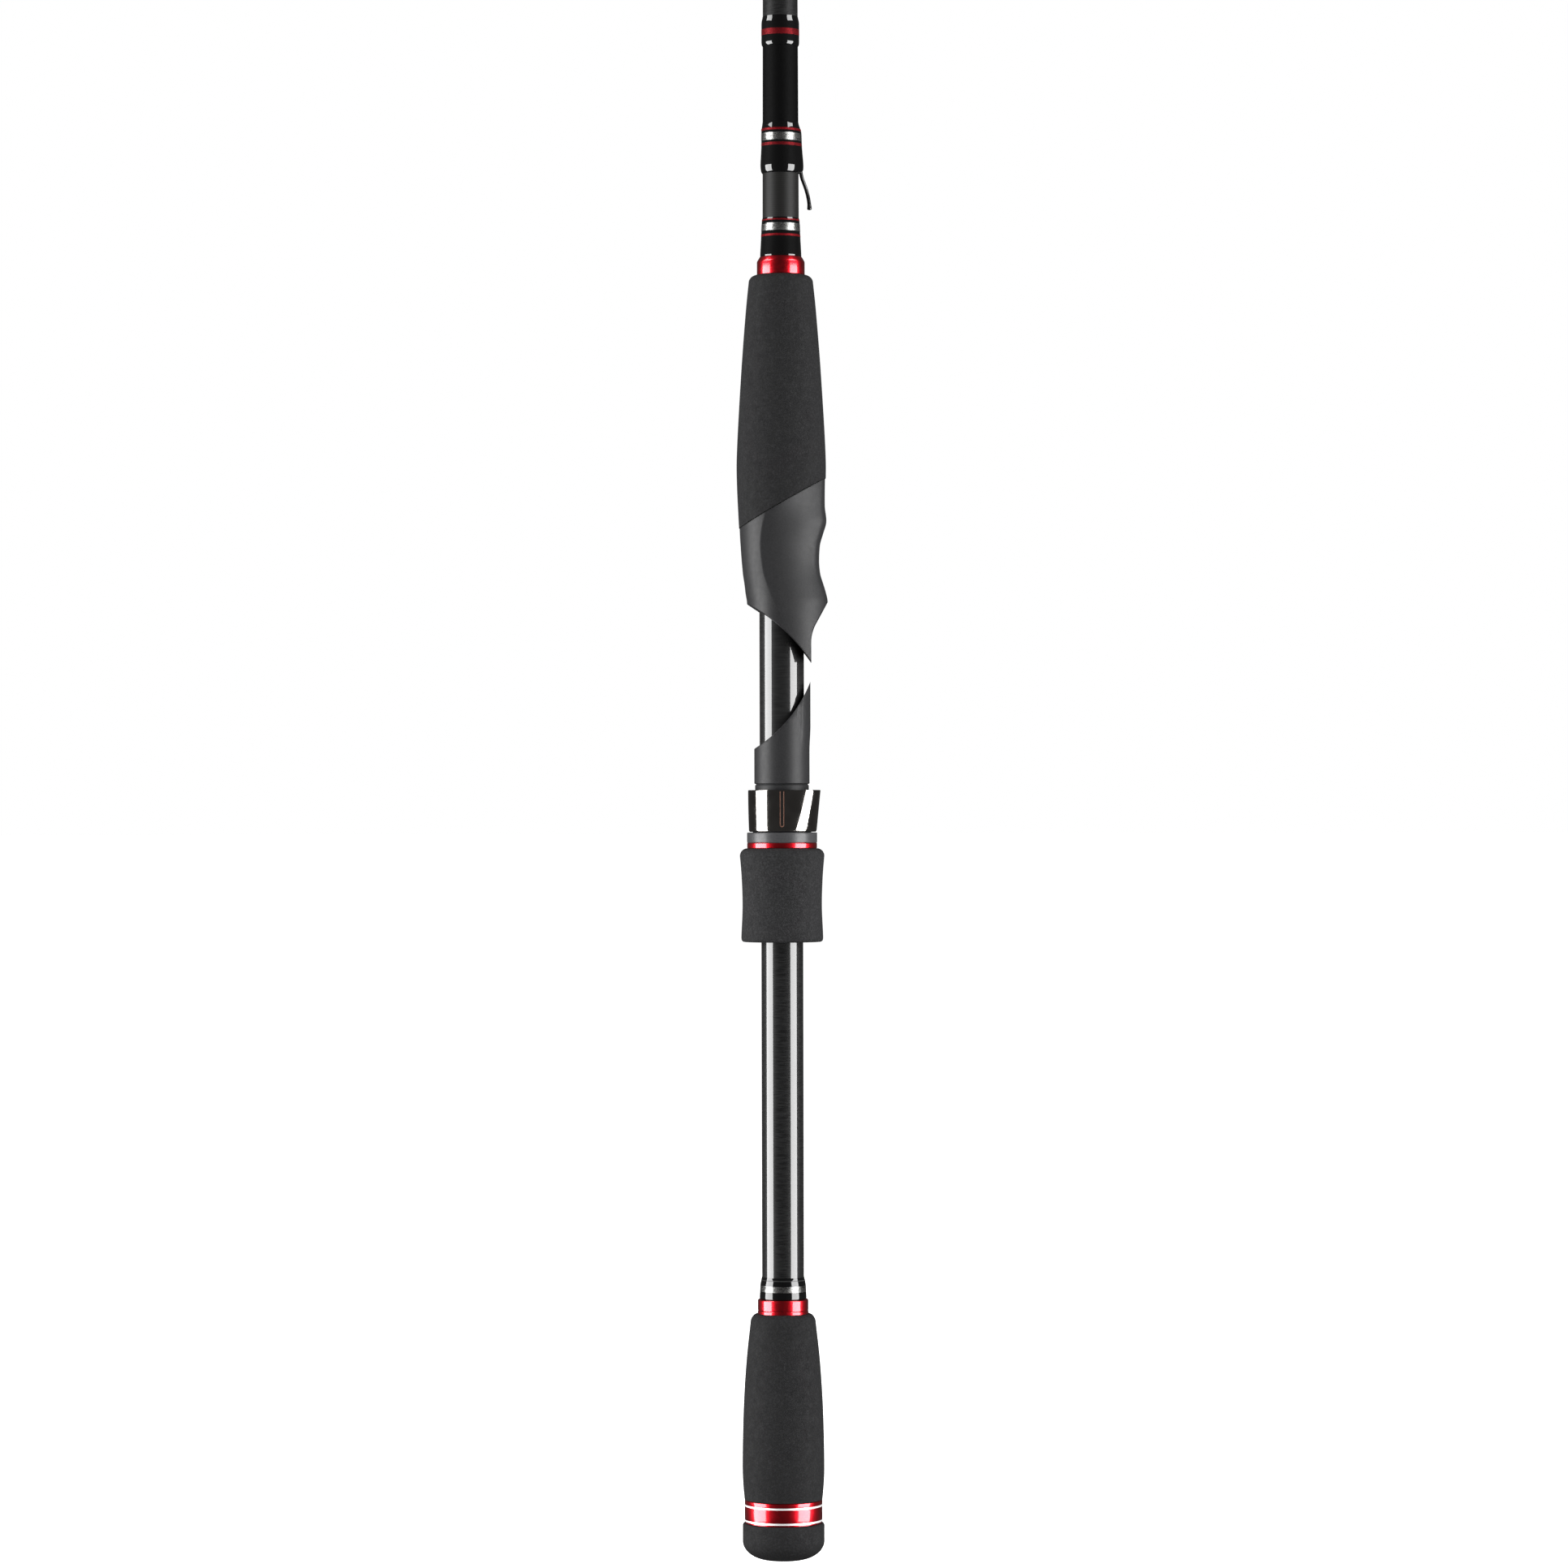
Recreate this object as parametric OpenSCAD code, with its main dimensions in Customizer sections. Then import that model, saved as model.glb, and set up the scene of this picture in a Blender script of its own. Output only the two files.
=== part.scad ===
// Two-piece spinning rod: split foam handle, tube reel seat with a screw-locked sliding hood, six guides.
// Origin at the centre of the butt end, +Z along the rod to the tip, +X the side of the reel foot and guides.

/* [Rod] */
// Whole length of the rod, ferrule closed
rod_len = 1980; // [1650:10:2400]
// Height of the ferrule's shoulder, where the tip section starts
butt_section_len = 990; // [825:5:1190]
// Radius of the blank at the butt
blank_butt_r = 7.15; // [5.95:0.05:8.6]
// Radius of the blank just above the fore handle
blank_fore_r = 6.2; // [5.4:0.05:7]
// Radius of the butt section at the ferrule's shoulder
blank_joint_r = 4.6; // [4:0.05:5.2]
// Radius of the tip section at the tip
blank_tip_r = 1.1; // [0.9:0.05:1.4]
// Wall of the butt section
blank_wall = 1.2; // [0.8:0.1:1.6]
// Overlap of the two sections at the ferrule
ferrule_len = 70; // [55:1:90]
// Wall of the tip section's socket
ferrule_wall = 0.95; // [0.7:0.05:1.3]

/* [Rear handle] */
// Radius of the butt cap and of the rear grip's belly
butt_r = 14; // [11.7:0.1:17]
// Length of the butt cap
cap_len = 12.6; // [10:0.1:20]
// Radius of the butt ring
butt_ring_r = 13.3; // [11:0.1:16]
// Length of the butt ring
butt_ring_len = 8; // [6:0.1:14]
// Length of the rear grip
rear_grip_len = 63.4; // [50:0.1:120]
// Radius of the rear grip below its top shoulder
rear_grip_top_r = 11.2; // [10:0.1:13]
// Length of the winding check over the rear grip
rear_check_len = 5; // [3:0.1:8]
// Length of the trim wrap over the rear winding check
rear_wrap_len = 7.5; // [5:0.1:14]
// Length of bare blank between the rear trim wrap and the lock nut
split_len = 114.5; // [90:0.5:160]

/* [Lock nut and sliding hood] */
// Wall of the threaded barrel over the seat tube
barrel_wall = 1.6; // [1.3:0.05:2]
// Pitch of the barrel's thread
thread_pitch = 2; // [1.5:0.1:2.5]
// Length of the lock nut's foam knob
knob_len = 32; // [26:0.1:40]
// Foam of the knob over its core, at its thickest
knob_foam = 3.86; // [3:0.02:5]
// Length of the ring between the knob and the collar
nut_ring_len = 1.9; // [1.5:0.1:3]
// Length of the core's collar
collar_len = 3.7; // [3:0.1:5]
// Length of the sliding hood
hood_len = 14.3; // [12:0.1:18]
// Thickness of the hood between the barrel and its outside
hood_thick = 2.4; // [2.2:0.05:3]
// Sheet of the hood's metal shell
hood_sheet = 0.6; // [0.5:0.05:0.8]
// Height by which the hood's mouth stands out on the reel side
hood_rise = 1.6; // [1.2:0.1:2.4]

/* [Reel seat] */
// Wall of the carbon seat tube
seat_tube_wall = 0.4; // [0.3:0.05:0.8]
// Height of the foot pad over the seat tube
pad_h = 2.2; // [1.9:0.05:2.8]
// Length of the rear seat moulding's foot pad
pad_len = 35; // [28:0.5:42]
// Gap between the two seat mouldings on the reel side
tip_gap = 6.5; // [4:0.1:14]
// Height of the fixed hood's lip over the seat tube
lip_h = 8.2; // [7.6:0.1:9.4]
// Height of the finger recess over the seat tube
recess_h = 5.3; // [5.1:0.1:6]
// Length of the front seat moulding, up to the fore grip on the axis
front_len = 54.2; // [50:0.1:60]
// Tilt of the joint between the front seat moulding and the fore grip
joint_tilt = 30; // [20:1:35]

/* [Fore handle] */
// Foam of the fore grip over the seat tube, at its thickest
fore_foam = 7.5; // [6.5:0.05:9]
// Radius of the fore grip below its top shoulder
fore_grip_top_r = 11.04; // [9.6:0.02:12.5]
// Length of the fore grip on the axis
fore_grip_len = 78.3; // [65:0.1:120]
// Length of the winding check over the fore grip
fore_check_len = 6.3; // [4:0.1:9]
// Length of the trim wrap over the fore winding check
fore_wrap_len = 13.2; // [9:0.1:20]

/* [Keeper and decorative wraps] */
// Bare blank between the fore trim wrap and the keeper wrap
keeper_gap = 15.3; // [14:0.1:25]
// Length of the wrap that binds the hook keeper
keeper_wrap_len = 17.5; // [14:0.1:24]
// Radius of the hook keeper's wire
keeper_wire_r = 0.65; // [0.5:0.05:0.8]
// Bare blank between the keeper wrap and the top wrap
label_len = 26.1; // [15:0.1:60]
// Length of the top wrap
top_wrap_len = 10.1; // [6:0.1:16]
// Thickness of thread and epoxy over the blank
wrap_t = 0.45; // [0.3:0.05:0.6]

/* [Line guides] */
// Distance of the first guide below the ferrule's shoulder
first_guide_gap = 142; // [110:1:170]
// Growth of the spacing from one guide to the next, going down from the tip
spacing_growth = 1.2; // [1.1:0.01:1.3]
// Outside diameter of the first guide's frame
first_guide_d = 25; // [20:1:30]
// Outside diameter of the last guide's and the tip-top's frame
last_guide_d = 6; // [5:0.5:8]
// Thickness of the guides' sheet and rods
guide_sheet = 0.9; // [0.7:0.05:1.1]

/* [Fits] */
// Layer of glue between bonded pieces
glue_gap = 0.05; // [0.02:0.01:0.1]
// Radial clearance of running fits
run_gap = 0.08; // [0.05:0.01:0.1]
// Clearance of moving faces that aren't a fit
free_gap = 0.3; // [0.25:0.05:0.5]

/* [Hidden] */

$fn = 64;
big = 200;
eps = 0.01;

// Heights of the pieces along the rod
z_ring = cap_len;
z_rear_grip = z_ring + butt_ring_len;
z_rear_check = z_rear_grip + rear_grip_len;
z_rear_wrap = z_rear_check + rear_check_len;
z_split = z_rear_wrap + rear_wrap_len;
z_nut = z_split + split_len;
z_nut_ring = z_nut + knob_len;
z_collar = z_nut_ring + nut_ring_len;
z_hood = z_collar + collar_len;
z_hood_top = z_hood + hood_len;
body_gap = 2.1;
z_body = z_hood_top + body_gap;
z_front = z_body + pad_len + tip_gap;
z_joint = z_front + front_len;
z_fore_check = z_joint + fore_grip_len;
z_fore_wrap = z_fore_check + fore_check_len;
z_bare = z_fore_wrap + fore_wrap_len;
z_keeper = z_bare + keeper_gap;
z_label = z_keeper + keeper_wrap_len;
z_top_wrap = z_label + label_len;
z_socket_end = butt_section_len + ferrule_len;

// Radii of the reel seat, one over the other
tube_in_r = blank_butt_r + glue_gap;
tube_r = tube_in_r + seat_tube_wall;
barrel_r = tube_r + barrel_wall;
body_r = barrel_r + 0.25;
hood_r = barrel_r + hood_thick;
core_in_r = barrel_r + free_gap;
core_r = core_in_r + 1.1;
knob_r = core_r + knob_foam;
collar_r = hood_r + 0.4;
fore_grip_r = tube_r + fore_foam;

// Blank
plug_len = 14;
blank_z0 = 7;
tip_solid_z = rod_len - 320;
tip_end_z = rod_len - 2;

function mix(a, b, t) = a + (b - a) * t;
function butt_out_r(z) =
    z <= z_nut ? blank_butt_r
    : z <= z_bare ? mix(blank_butt_r, blank_fore_r, (z - z_nut) / (z_bare - z_nut))
    : mix(blank_fore_r, blank_joint_r, (z - z_bare) / (butt_section_len - z_bare));
socket_in_r = blank_joint_r + run_gap;
socket_r = socket_in_r + ferrule_wall;
function tip_out_r(z) =
    mix(socket_r, blank_tip_r, (z - butt_section_len) / (rod_len - butt_section_len));
function rod_r(z) = z < butt_section_len ? butt_out_r(z) : tip_out_r(z);

// Points of an arc, of an arc stretched along the rod, and of a smooth curve through stations
function arc(c, r, a0, a1, n) = stretched_arc(c, r, r, a0, a1, n);
function stretched_arc(c, rx, rz, a0, a1, n) =
    [for (i = [0 : n]) let (a = mix(a0, a1, i / n)) [c[0] + rx * cos(a), c[1] + rz * sin(a)]];
function through(p0, p1, p2, p3, t) =
    0.5 * (2 * p1 + (p2 - p0) * t + (2 * p0 - 5 * p1 + 4 * p2 - p3) * t * t
           + (3 * p1 - p0 - 3 * p2 + p3) * t * t * t);
function smooth(p, steps) = [
    for (i = [0 : len(p) - 2], k = [0 : steps - 1])
        through(p[max(i - 1, 0)], p[i], p[i + 1], p[min(i + 2, len(p) - 1)], k / steps),
    p[len(p) - 1]
];

module revolve(points) {
    rotate_extrude()
        polygon(points);
}

module ring(r_in, r_out, z0, z1) {
    revolve([[r_in, z0], [r_out, z0], [r_out, z1], [r_in, z1]]);
}

// Inner side of a bonded sleeve that follows the blank, from its top down
function blank_side(z0, z1) = [
    [rod_r(z1) + glue_gap, z1],
    if (z0 < z_nut && z1 > z_nut) [rod_r(z_nut) + glue_gap, z_nut],
    [rod_r(z0) + glue_gap, z0]
];

// Thread wrap under epoxy: thin at its ends, full in between
module wrap(z0, z1, t = wrap_t) {
    end = min(1.2, (z1 - z0) / 4);
    thin = 0.12;
    revolve(concat(
        [[rod_r(z0) + thin, z0], [rod_r(z0) + t, z0 + end]],
        [[rod_r(z1) + t, z1 - end], [rod_r(z1) + thin, z1]],
        blank_side(z0, z1)
    ));
}

// ---- Rear handle ----

cap_flat_r = 5;
cap_edge = 0.9;
module butt_cap() {
    color("#303033")
        revolve(concat(
            [[0, 0], [cap_flat_r, 0]],
            stretched_arc([cap_flat_r, 6.4], butt_r - cap_flat_r, 6.4, -80, 0, 10),
            arc([butt_r - cap_edge, cap_len - cap_edge], cap_edge, 0, 90, 4),
            [[blank_butt_r + glue_gap, cap_len], [blank_butt_r + glue_gap, blank_z0 - glue_gap],
             [0, blank_z0 - glue_gap]]
        ));
}

module butt_plug() {
    plug_r = blank_butt_r - blank_wall - glue_gap;
    color("#1a1a1a")
        revolve([[0, blank_z0], [plug_r, blank_z0], [plug_r, blank_z0 + plug_len - 1],
                 [plug_r - 1, blank_z0 + plug_len], [0, blank_z0 + plug_len]]);
}

// Turned ring with two bright-cut grooves
groove_w = 0.45;
groove_t = 0.15;
module butt_ring() {
    low = z_ring + 0.9;
    high = z_rear_grip - 1.9;
    bevel = 0.25;
    color("#960014")
        revolve([
            [blank_butt_r + glue_gap, z_ring], [butt_ring_r - bevel, z_ring], [butt_ring_r, z_ring + bevel],
            [butt_ring_r, low - groove_w / 2], [butt_ring_r - groove_t, low],
            [butt_ring_r, low + groove_w / 2],
            [butt_ring_r, high - groove_w / 2], [butt_ring_r - groove_t, high],
            [butt_ring_r, high + groove_w / 2],
            [butt_ring_r, z_rear_grip - bevel], [butt_ring_r - bevel, z_rear_grip],
            [blank_butt_r + glue_gap, z_rear_grip]
        ]);
}

rear_check_r = blank_butt_r + 1.5;
// Foam grip: belly low down, long taper, round shoulder
module rear_grip() {
    shoulder = 3.3;
    neck_r = rear_check_r + 0.05;
    top = z_rear_check - shoulder;
    foot_r = butt_ring_r + 0.05;
    outline = smooth([
        [foot_r, z_rear_grip],
        [butt_r, z_rear_grip + 0.16 * rear_grip_len],
        [mix(butt_r, rear_grip_top_r, 0.14), z_rear_grip + 0.48 * rear_grip_len],
        [mix(butt_r, rear_grip_top_r, 0.5), z_rear_grip + 0.74 * rear_grip_len],
        [rear_grip_top_r, top]
    ], 6);
    color("#303033")
        revolve(concat(
            outline,
            stretched_arc([neck_r, top], rear_grip_top_r - neck_r, shoulder, 12, 90, 6),
            blank_side(z_rear_grip, z_rear_check)
        ));
}

module rear_winding_check() {
    nose = 0.55;
    color("#960014")
        revolve(concat(
            [[rear_check_r, z_rear_check]],
            arc([rear_check_r - nose, z_rear_wrap - nose], nose, 0, 90, 5),
            blank_side(z_rear_check, z_rear_wrap)
        ));
}

module rear_trim_wrap() {
    color("#141414")
        revolve(concat(
            [[blank_butt_r + 0.85, z_rear_wrap], [blank_butt_r + 0.6, z_split - 2.4],
             [blank_butt_r + 0.12, z_split]],
            blank_side(z_rear_wrap, z_split)
        ));
}

// ---- Blank ----

// Hollow butt section; its end is the ferrule's male part
module butt_blank() {
    end_r = butt_out_r(z_socket_end);
    color("#1b1b1b")
        revolve([
            [blank_butt_r - blank_wall, blank_z0], [blank_butt_r, blank_z0], [blank_butt_r, z_nut],
            [blank_fore_r, z_bare], [blank_joint_r, butt_section_len - 1], [end_r, z_socket_end],
            [end_r - blank_wall, z_socket_end], [blank_joint_r - blank_wall, butt_section_len - 1],
            [blank_fore_r - blank_wall, z_bare], [blank_butt_r - blank_wall, z_nut]
        ]);
}

// Tip section: socket over the butt section's end, hollow for most of its length, solid at the tip
module tip_blank() {
    tip_wall = 0.75;
    socket_end = z_socket_end + 4;
    male_end_r = butt_out_r(z_socket_end) + run_gap;
    color("#1b1b1b")
        revolve([
            [socket_in_r, butt_section_len], [socket_r, butt_section_len], [tip_out_r(tip_end_z), tip_end_z],
            [0, tip_end_z], [0, tip_solid_z], [tip_out_r(tip_solid_z) - tip_wall, tip_solid_z],
            [min(male_end_r, tip_out_r(socket_end) - tip_wall), socket_end], [male_end_r, z_socket_end]
        ]);
}

module ferrule_rear_wrap() {
    color("#141414")
        wrap(butt_section_len - 26, butt_section_len - 3);
}

module ferrule_front_wrap() {
    color("#141414")
        wrap(butt_section_len + 0.5, butt_section_len + 24);
}

// ---- Reel seat ----

tube_z0 = z_nut + 5.5;
tube_z1 = z_joint - 11;
module seat_tube() {
    color("#26282b")
        ring(tube_in_r, tube_r, tube_z0, tube_z1);
}

// Sleeve that fills the gap as the blank narrows inside the seat tube
module seat_shim() {
    z0 = tube_z1 - 32;
    z1 = tube_z1 - 1;
    color("#8a7a5c")
        revolve(concat([[tube_in_r - glue_gap, z0], [tube_in_r - glue_gap, z1]], blank_side(z0, z1)));
}

// Cuts away what lies on the upper side of a plane tilted about Y and crossing the axis at z
module above_plane(z, tilt) {
    translate([0, 0, z])
        rotate([0, -tilt, 0])
            translate([-big / 2, -big / 2, 0])
                cube([big, big, big]);
}

key_w = 3;
key_t = 0.9;
key_gap = 0.1;
barrel_z0 = z_nut + 4.5;
thread_z0 = barrel_z0 + 1.5;
thread_z1 = z_hood_top - 1;
thread_t = 0.7;
rear_scoop_r = 46;
scoop_tip_z = z_body + pad_len;
scoop_heel_z = z_body + 12;

// Round cutter along Y through the points a and b of the XZ plane, bulging to the left of the way from a to b
module scoop(a, b, r) {
    d = b - a;
    mid = (a + b) / 2;
    off = sqrt(r * r - d * d / 4) / norm(d);
    translate([mid[0] - d[1] * off, 0, mid[1] + d[0] * off])
        rotate([90, 0, 0])
            cylinder(h = big, r = r, center = true, $fn = 160);
}

// Threaded barrel and foot pad in one moulding; a keyway runs down the side away from the reel
module rear_seat() {
    turns = floor((thread_z1 - thread_z0) / thread_pitch);
    root_r = barrel_r - thread_t;
    bore_r = tube_r + glue_gap;
    tooth = [[root_r, 0.15], [barrel_r, 0.4], [barrel_r, 0.65], [root_r, 0.9]];
    thread = [for (i = [0 : turns - 1], p = tooth) [p[0], thread_z0 + (i + p[1]) * thread_pitch]];
    pad_r = tube_r + pad_h;
    color("#4b4b4e")
        difference() {
            union() {
                revolve(concat(
                    [[bore_r, barrel_z0], [root_r, barrel_z0]],
                    thread,
                    [[root_r, thread_z1], [barrel_r, thread_z1 + 0.3], [barrel_r, z_body - 0.4],
                     [barrel_r - 0.35, z_body - 0.35], [barrel_r - 0.35, z_body], [body_r, z_body + 0.1],
                     [body_r, scoop_tip_z + 1], [bore_r, scoop_tip_z + 1]]
                ));
                difference() {
                    translate([0, -7, z_body + 3])
                        intersection() {
                            translate([0, 7, 0])
                                cylinder(h = pad_len - 2.5, r = pad_r);
                            cube([big, 14, pad_len]);
                        }
                    cylinder(h = big * 2, r = bore_r);
                }
            }
            // Scooped upper edge, high on the reel side
            scoop([-body_r, scoop_heel_z], [pad_r, scoop_tip_z], rear_scoop_r);
            // Keyway
            translate([-barrel_r - 1, -key_w / 2, barrel_z0 - 1])
                cube([1 + key_t, key_w, z_hood_top - barrel_z0 + 1]);
        }
}

// Front moulding: foot pad, fixed hood, finger recess and scooped sides, lofted from half-ellipse sections.
// Each station is [height, reel side, far side, half width], the last three over the seat tube.
front_stations = [
    [-1, lip_h - 1.2, 2.9, 3.6],
    [6, lip_h - 0.8, 3.3, 3.8],
    [13.5, lip_h - 0.4, 4, 4.4],
    [20.8, lip_h, 4.25, 5.2],
    [23.5, lip_h - 0.5, 4.7, 5.3],
    [26.9, lip_h - 1.5, 5.1, 5.3],
    [30.2, recess_h + 0.4, 5.6, 5.2],
    [34.5, recess_h, 6, 5.1],
    [40.2, recess_h + 0.3, 6.4, 5.5],
    [43.5, recess_h + 1.25, 6.6, 5.9],
    [48, fore_foam + 0.3, 6.8, 6.4],
    [53.5, fore_foam - 0.2, 7.1, 6.9],
    [65, fore_foam - 0.1, 7.4, 7.3]
];
loft_sides = 36;
function front_point(s, a) = [
    (tube_r + (cos(a) > 0 ? s[1] : s[2])) * cos(a),
    (tube_r + s[3]) * sin(a),
    z_front + s[0]
];

module loft(rings) {
    n = len(rings);
    m = len(rings[0]);
    polyhedron(
        points = [for (r = rings, p = r) p],
        faces = concat(
            [[for (j = [0 : m - 1]) j]],
            [[for (j = [m - 1 : -1 : 0]) (n - 1) * m + j]],
            [for (i = [0 : n - 2], j = [0 : m - 1]) let (k = (j + 1) % m)
                [i * m + j, (i + 1) * m + j, (i + 1) * m + k]],
            [for (i = [0 : n - 2], j = [0 : m - 1]) let (k = (j + 1) % m)
                [i * m + j, (i + 1) * m + k, i * m + k]]
        ),
        convexity = 6
    );
}

edge_far_z = z_front + 20;
edge_near_z = z_front + 0.1;
front_scoop_r = 64;
floor_x = tube_r + pad_h + 0.3;
lip_z = z_front + 20.8;
ramp_r = 15;
ramp_turn = 27;
pocket_off = 3;
pocket_w = 14;
hood_wall = 1.45;
module front_seat() {
    pocket_r = tube_r + lip_h - pocket_off - hood_wall;
    pocket_mouth = 29;
    pocket_end = 7;
    color("#4b4b4e")
        difference() {
            loft([for (s = smooth(front_stations, 2))
                [for (j = [0 : loft_sides - 1]) front_point(s, j * 360 / loft_sides)]]);
            above_plane(z_joint, joint_tilt);
            // Bowed lower edge, low on the reel side
            scoop([floor_x, edge_near_z], [-tube_r - 4.25, edge_far_z], front_scoop_r);
            // Foot pad, and the mouth's cheeks that sweep up to the lip
            rotate([90, 0, 0])
                linear_extrude(height = big, center = true)
                    polygon(concat(
                        [[floor_x, z_front - 10]],
                        arc([floor_x + ramp_r, z_front + 6.5], ramp_r, 180, 180 - ramp_turn, 6),
                        [[tube_r + lip_h + 0.1, lip_z], [big, lip_z], [big, z_front - 10]]
                    ));
            translate([0, 0, z_front - 10])
                cylinder(h = front_len + 40, r = tube_r + glue_gap);
            // Pocket for the front end of the reel's foot
            intersection() {
                translate([pocket_off, 0, z_front - 5])
                    union() {
                        cylinder(h = pocket_mouth, r = pocket_r);
                        translate([0, 0, pocket_mouth - eps])
                            cylinder(h = pocket_end, r1 = pocket_r, r2 = pocket_r - 3.4);
                    }
                translate([floor_x, -pocket_w / 2, z_front - 6])
                    cube([big, pocket_w, pocket_mouth + pocket_end]);
            }
        }
}

// ---- Lock nut ----

core_z0 = z_nut + 3.4;
neck_in_r = barrel_r + 0.2;
neck_r = neck_in_r + 0.5;
snap_r = neck_r + 0.3;
neck_z1 = z_hood + 2.8;
snap_z0 = neck_z1 - 1;
// Sleeve on the barrel's thread with its collar; the snap rim holds the hood
// but lets it stay still as the nut turns
module nut_core() {
    bevel = 0.35;
    color("#3b3b3e")
        revolve([
            [core_in_r, core_z0], [core_r, core_z0], [core_r, z_collar],
            [collar_r - bevel, z_collar], [collar_r, z_collar + bevel],
            [collar_r, z_hood - 0.2 - bevel], [collar_r - bevel, z_hood - 0.2], [neck_r, z_hood - 0.2],
            [neck_r, snap_z0], [snap_r, snap_z0], [snap_r, neck_z1 - 0.3], [snap_r - 0.3, neck_z1],
            [neck_in_r, neck_z1], [neck_in_r, z_hood - 1], [core_in_r, z_hood - 1.1]
        ]);
}

module nut_ring() {
    ring_r = collar_r - 0.05;
    bevel = 0.3;
    color("#960014")
        revolve([
            [core_r + glue_gap, z_nut_ring], [ring_r - bevel, z_nut_ring], [ring_r, z_nut_ring + bevel],
            [ring_r, z_collar - bevel], [ring_r - bevel, z_collar], [core_r + glue_gap, z_collar]
        ]);
}

// Foam knob: narrow waist, flared top, and a lip that closes round the blank below the core
module nut_grip() {
    edge = 1;
    shoulder = 2.6;
    low_r = knob_r - 0.5;
    lip_r = blank_butt_r + 0.55;
    outline = smooth([
        [low_r, z_nut + edge],
        [low_r + 0.02, z_nut + 0.08 * knob_len],
        [knob_r - 0.87, z_nut + 0.38 * knob_len],
        [knob_r - 0.6, z_nut + 0.68 * knob_len],
        [knob_r, z_nut_ring - shoulder]
    ], 5);
    color("#34343a")
        revolve(concat(
            [[lip_r, z_nut]],
            arc([low_r - edge, z_nut + edge], edge, -90, -12, 4),
            outline,
            stretched_arc([collar_r - 0.1, z_nut_ring - shoulder],
                          knob_r - collar_r + 0.1, shoulder, 15, 90, 6),
            [[core_r + glue_gap, z_nut_ring], [core_r + glue_gap, core_z0 - glue_gap],
             [lip_r, core_z0 - glue_gap]]
        ));
}

// ---- Sliding hood ----

hood_off = 3.6;
hump_r = hood_r - hood_off;
hood_floor = 3.4;
// Outside of the hood, shrunk by t and longer by over at both ends:
// a round ring with a hump that rises to the mouth
module hood_form(t, over) {
    foot_rise = 0.2;
    more = over * (hood_rise - foot_rise) / hood_len;
    union() {
        translate([0, 0, z_hood - over])
            cylinder(h = hood_len + 2 * over, r = hood_r - t);
        translate([hood_off, 0, z_hood - over])
            cylinder(h = hood_len + 2 * over,
                     r1 = hump_r + foot_rise - more - t, r2 = hump_r + hood_rise + more - t);
    }
}

module hood_shell() {
    color("#2c2a29")
        difference() {
            hood_form(0, 0);
            hood_form(hood_sheet, 1);
        }
}

// Plastic insert: bore and key on the barrel, groove for the nut's snap rim,
// pocket for the rear end of the foot
module hood_liner() {
    liner_bore = barrel_r + run_gap;
    lip_z0 = z_hood + 0.2;
    pocket_r = hump_r + hood_rise - hood_sheet - 0.7;
    color("#1e1e1e")
        union() {
            difference() {
                intersection() {
                    hood_form(hood_sheet + glue_gap, 0);
                    translate([-big / 2, -big / 2, lip_z0])
                        cube([big, big, hood_len - 0.4]);
                }
                translate([0, 0, z_hood - 1])
                    cylinder(h = hood_len + 2, r = liner_bore);
                translate([0, 0, z_hood - 1])
                    cylinder(h = snap_z0 - z_hood + 1 - 0.1, r = neck_r + run_gap);
                translate([0, 0, snap_z0 - 0.1])
                    cylinder(h = neck_z1 - snap_z0 + 0.2, r = snap_r + 0.1);
                // Pocket
                intersection() {
                    translate([hood_off, 0, z_hood + hood_floor])
                        cylinder(h = hood_len, r = pocket_r);
                    translate([barrel_r * 0.75, -big / 2, z_hood])
                        cube([big, big, big]);
                }
            }
            // Key in the barrel's keyway
            translate([-barrel_r - 0.4, -key_w / 2 + key_gap, neck_z1 + 0.3])
                cube([0.4 + key_t - 2 * key_gap, key_w - 2 * key_gap, z_hood_top - neck_z1 - 1.3]);
        }
}

// ---- Fore handle ----

fore_check_r = rod_r(z_fore_check) + 1.91;
// Foam grip cut to the front moulding's slanted joint
module fore_grip() {
    shoulder = 2.6;
    neck_r = fore_check_r + 0.1;
    top = z_fore_check - shoulder;
    low = z_joint - 12;
    outline = smooth([
        [fore_grip_r - 0.9, low],
        [fore_grip_r, z_joint + 7],
        [fore_grip_r - 0.1, z_joint + 0.25 * fore_grip_len],
        [mix(fore_grip_r, fore_grip_top_r, 0.39), z_joint + 0.585 * fore_grip_len],
        [mix(fore_grip_r, fore_grip_top_r, 0.76), z_joint + 0.84 * fore_grip_len],
        [fore_grip_top_r, top]
    ], 6);
    color("#36363a")
        intersection() {
            revolve(concat(
                outline,
                stretched_arc([neck_r, top], fore_grip_top_r - neck_r, shoulder, 12, 90, 6),
                blank_side(low, z_fore_check)
            ));
            above_plane(z_joint + glue_gap, joint_tilt);
        }
}

module fore_winding_check() {
    color("#960014")
        revolve(concat(
            [[fore_check_r, z_fore_check], [fore_check_r, z_fore_wrap - 1.7],
             [fore_check_r - 1, z_fore_wrap]],
            blank_side(z_fore_check, z_fore_wrap)
        ));
}

module fore_trim_wrap() {
    color("#141414")
        revolve(concat(
            [[rod_r(z_fore_wrap) + 0.8, z_fore_wrap], [rod_r(z_bare) + 0.3, z_bare - 1.5],
             [rod_r(z_bare) + 0.12, z_bare]],
            blank_side(z_fore_wrap, z_bare)
        ));
}

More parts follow.
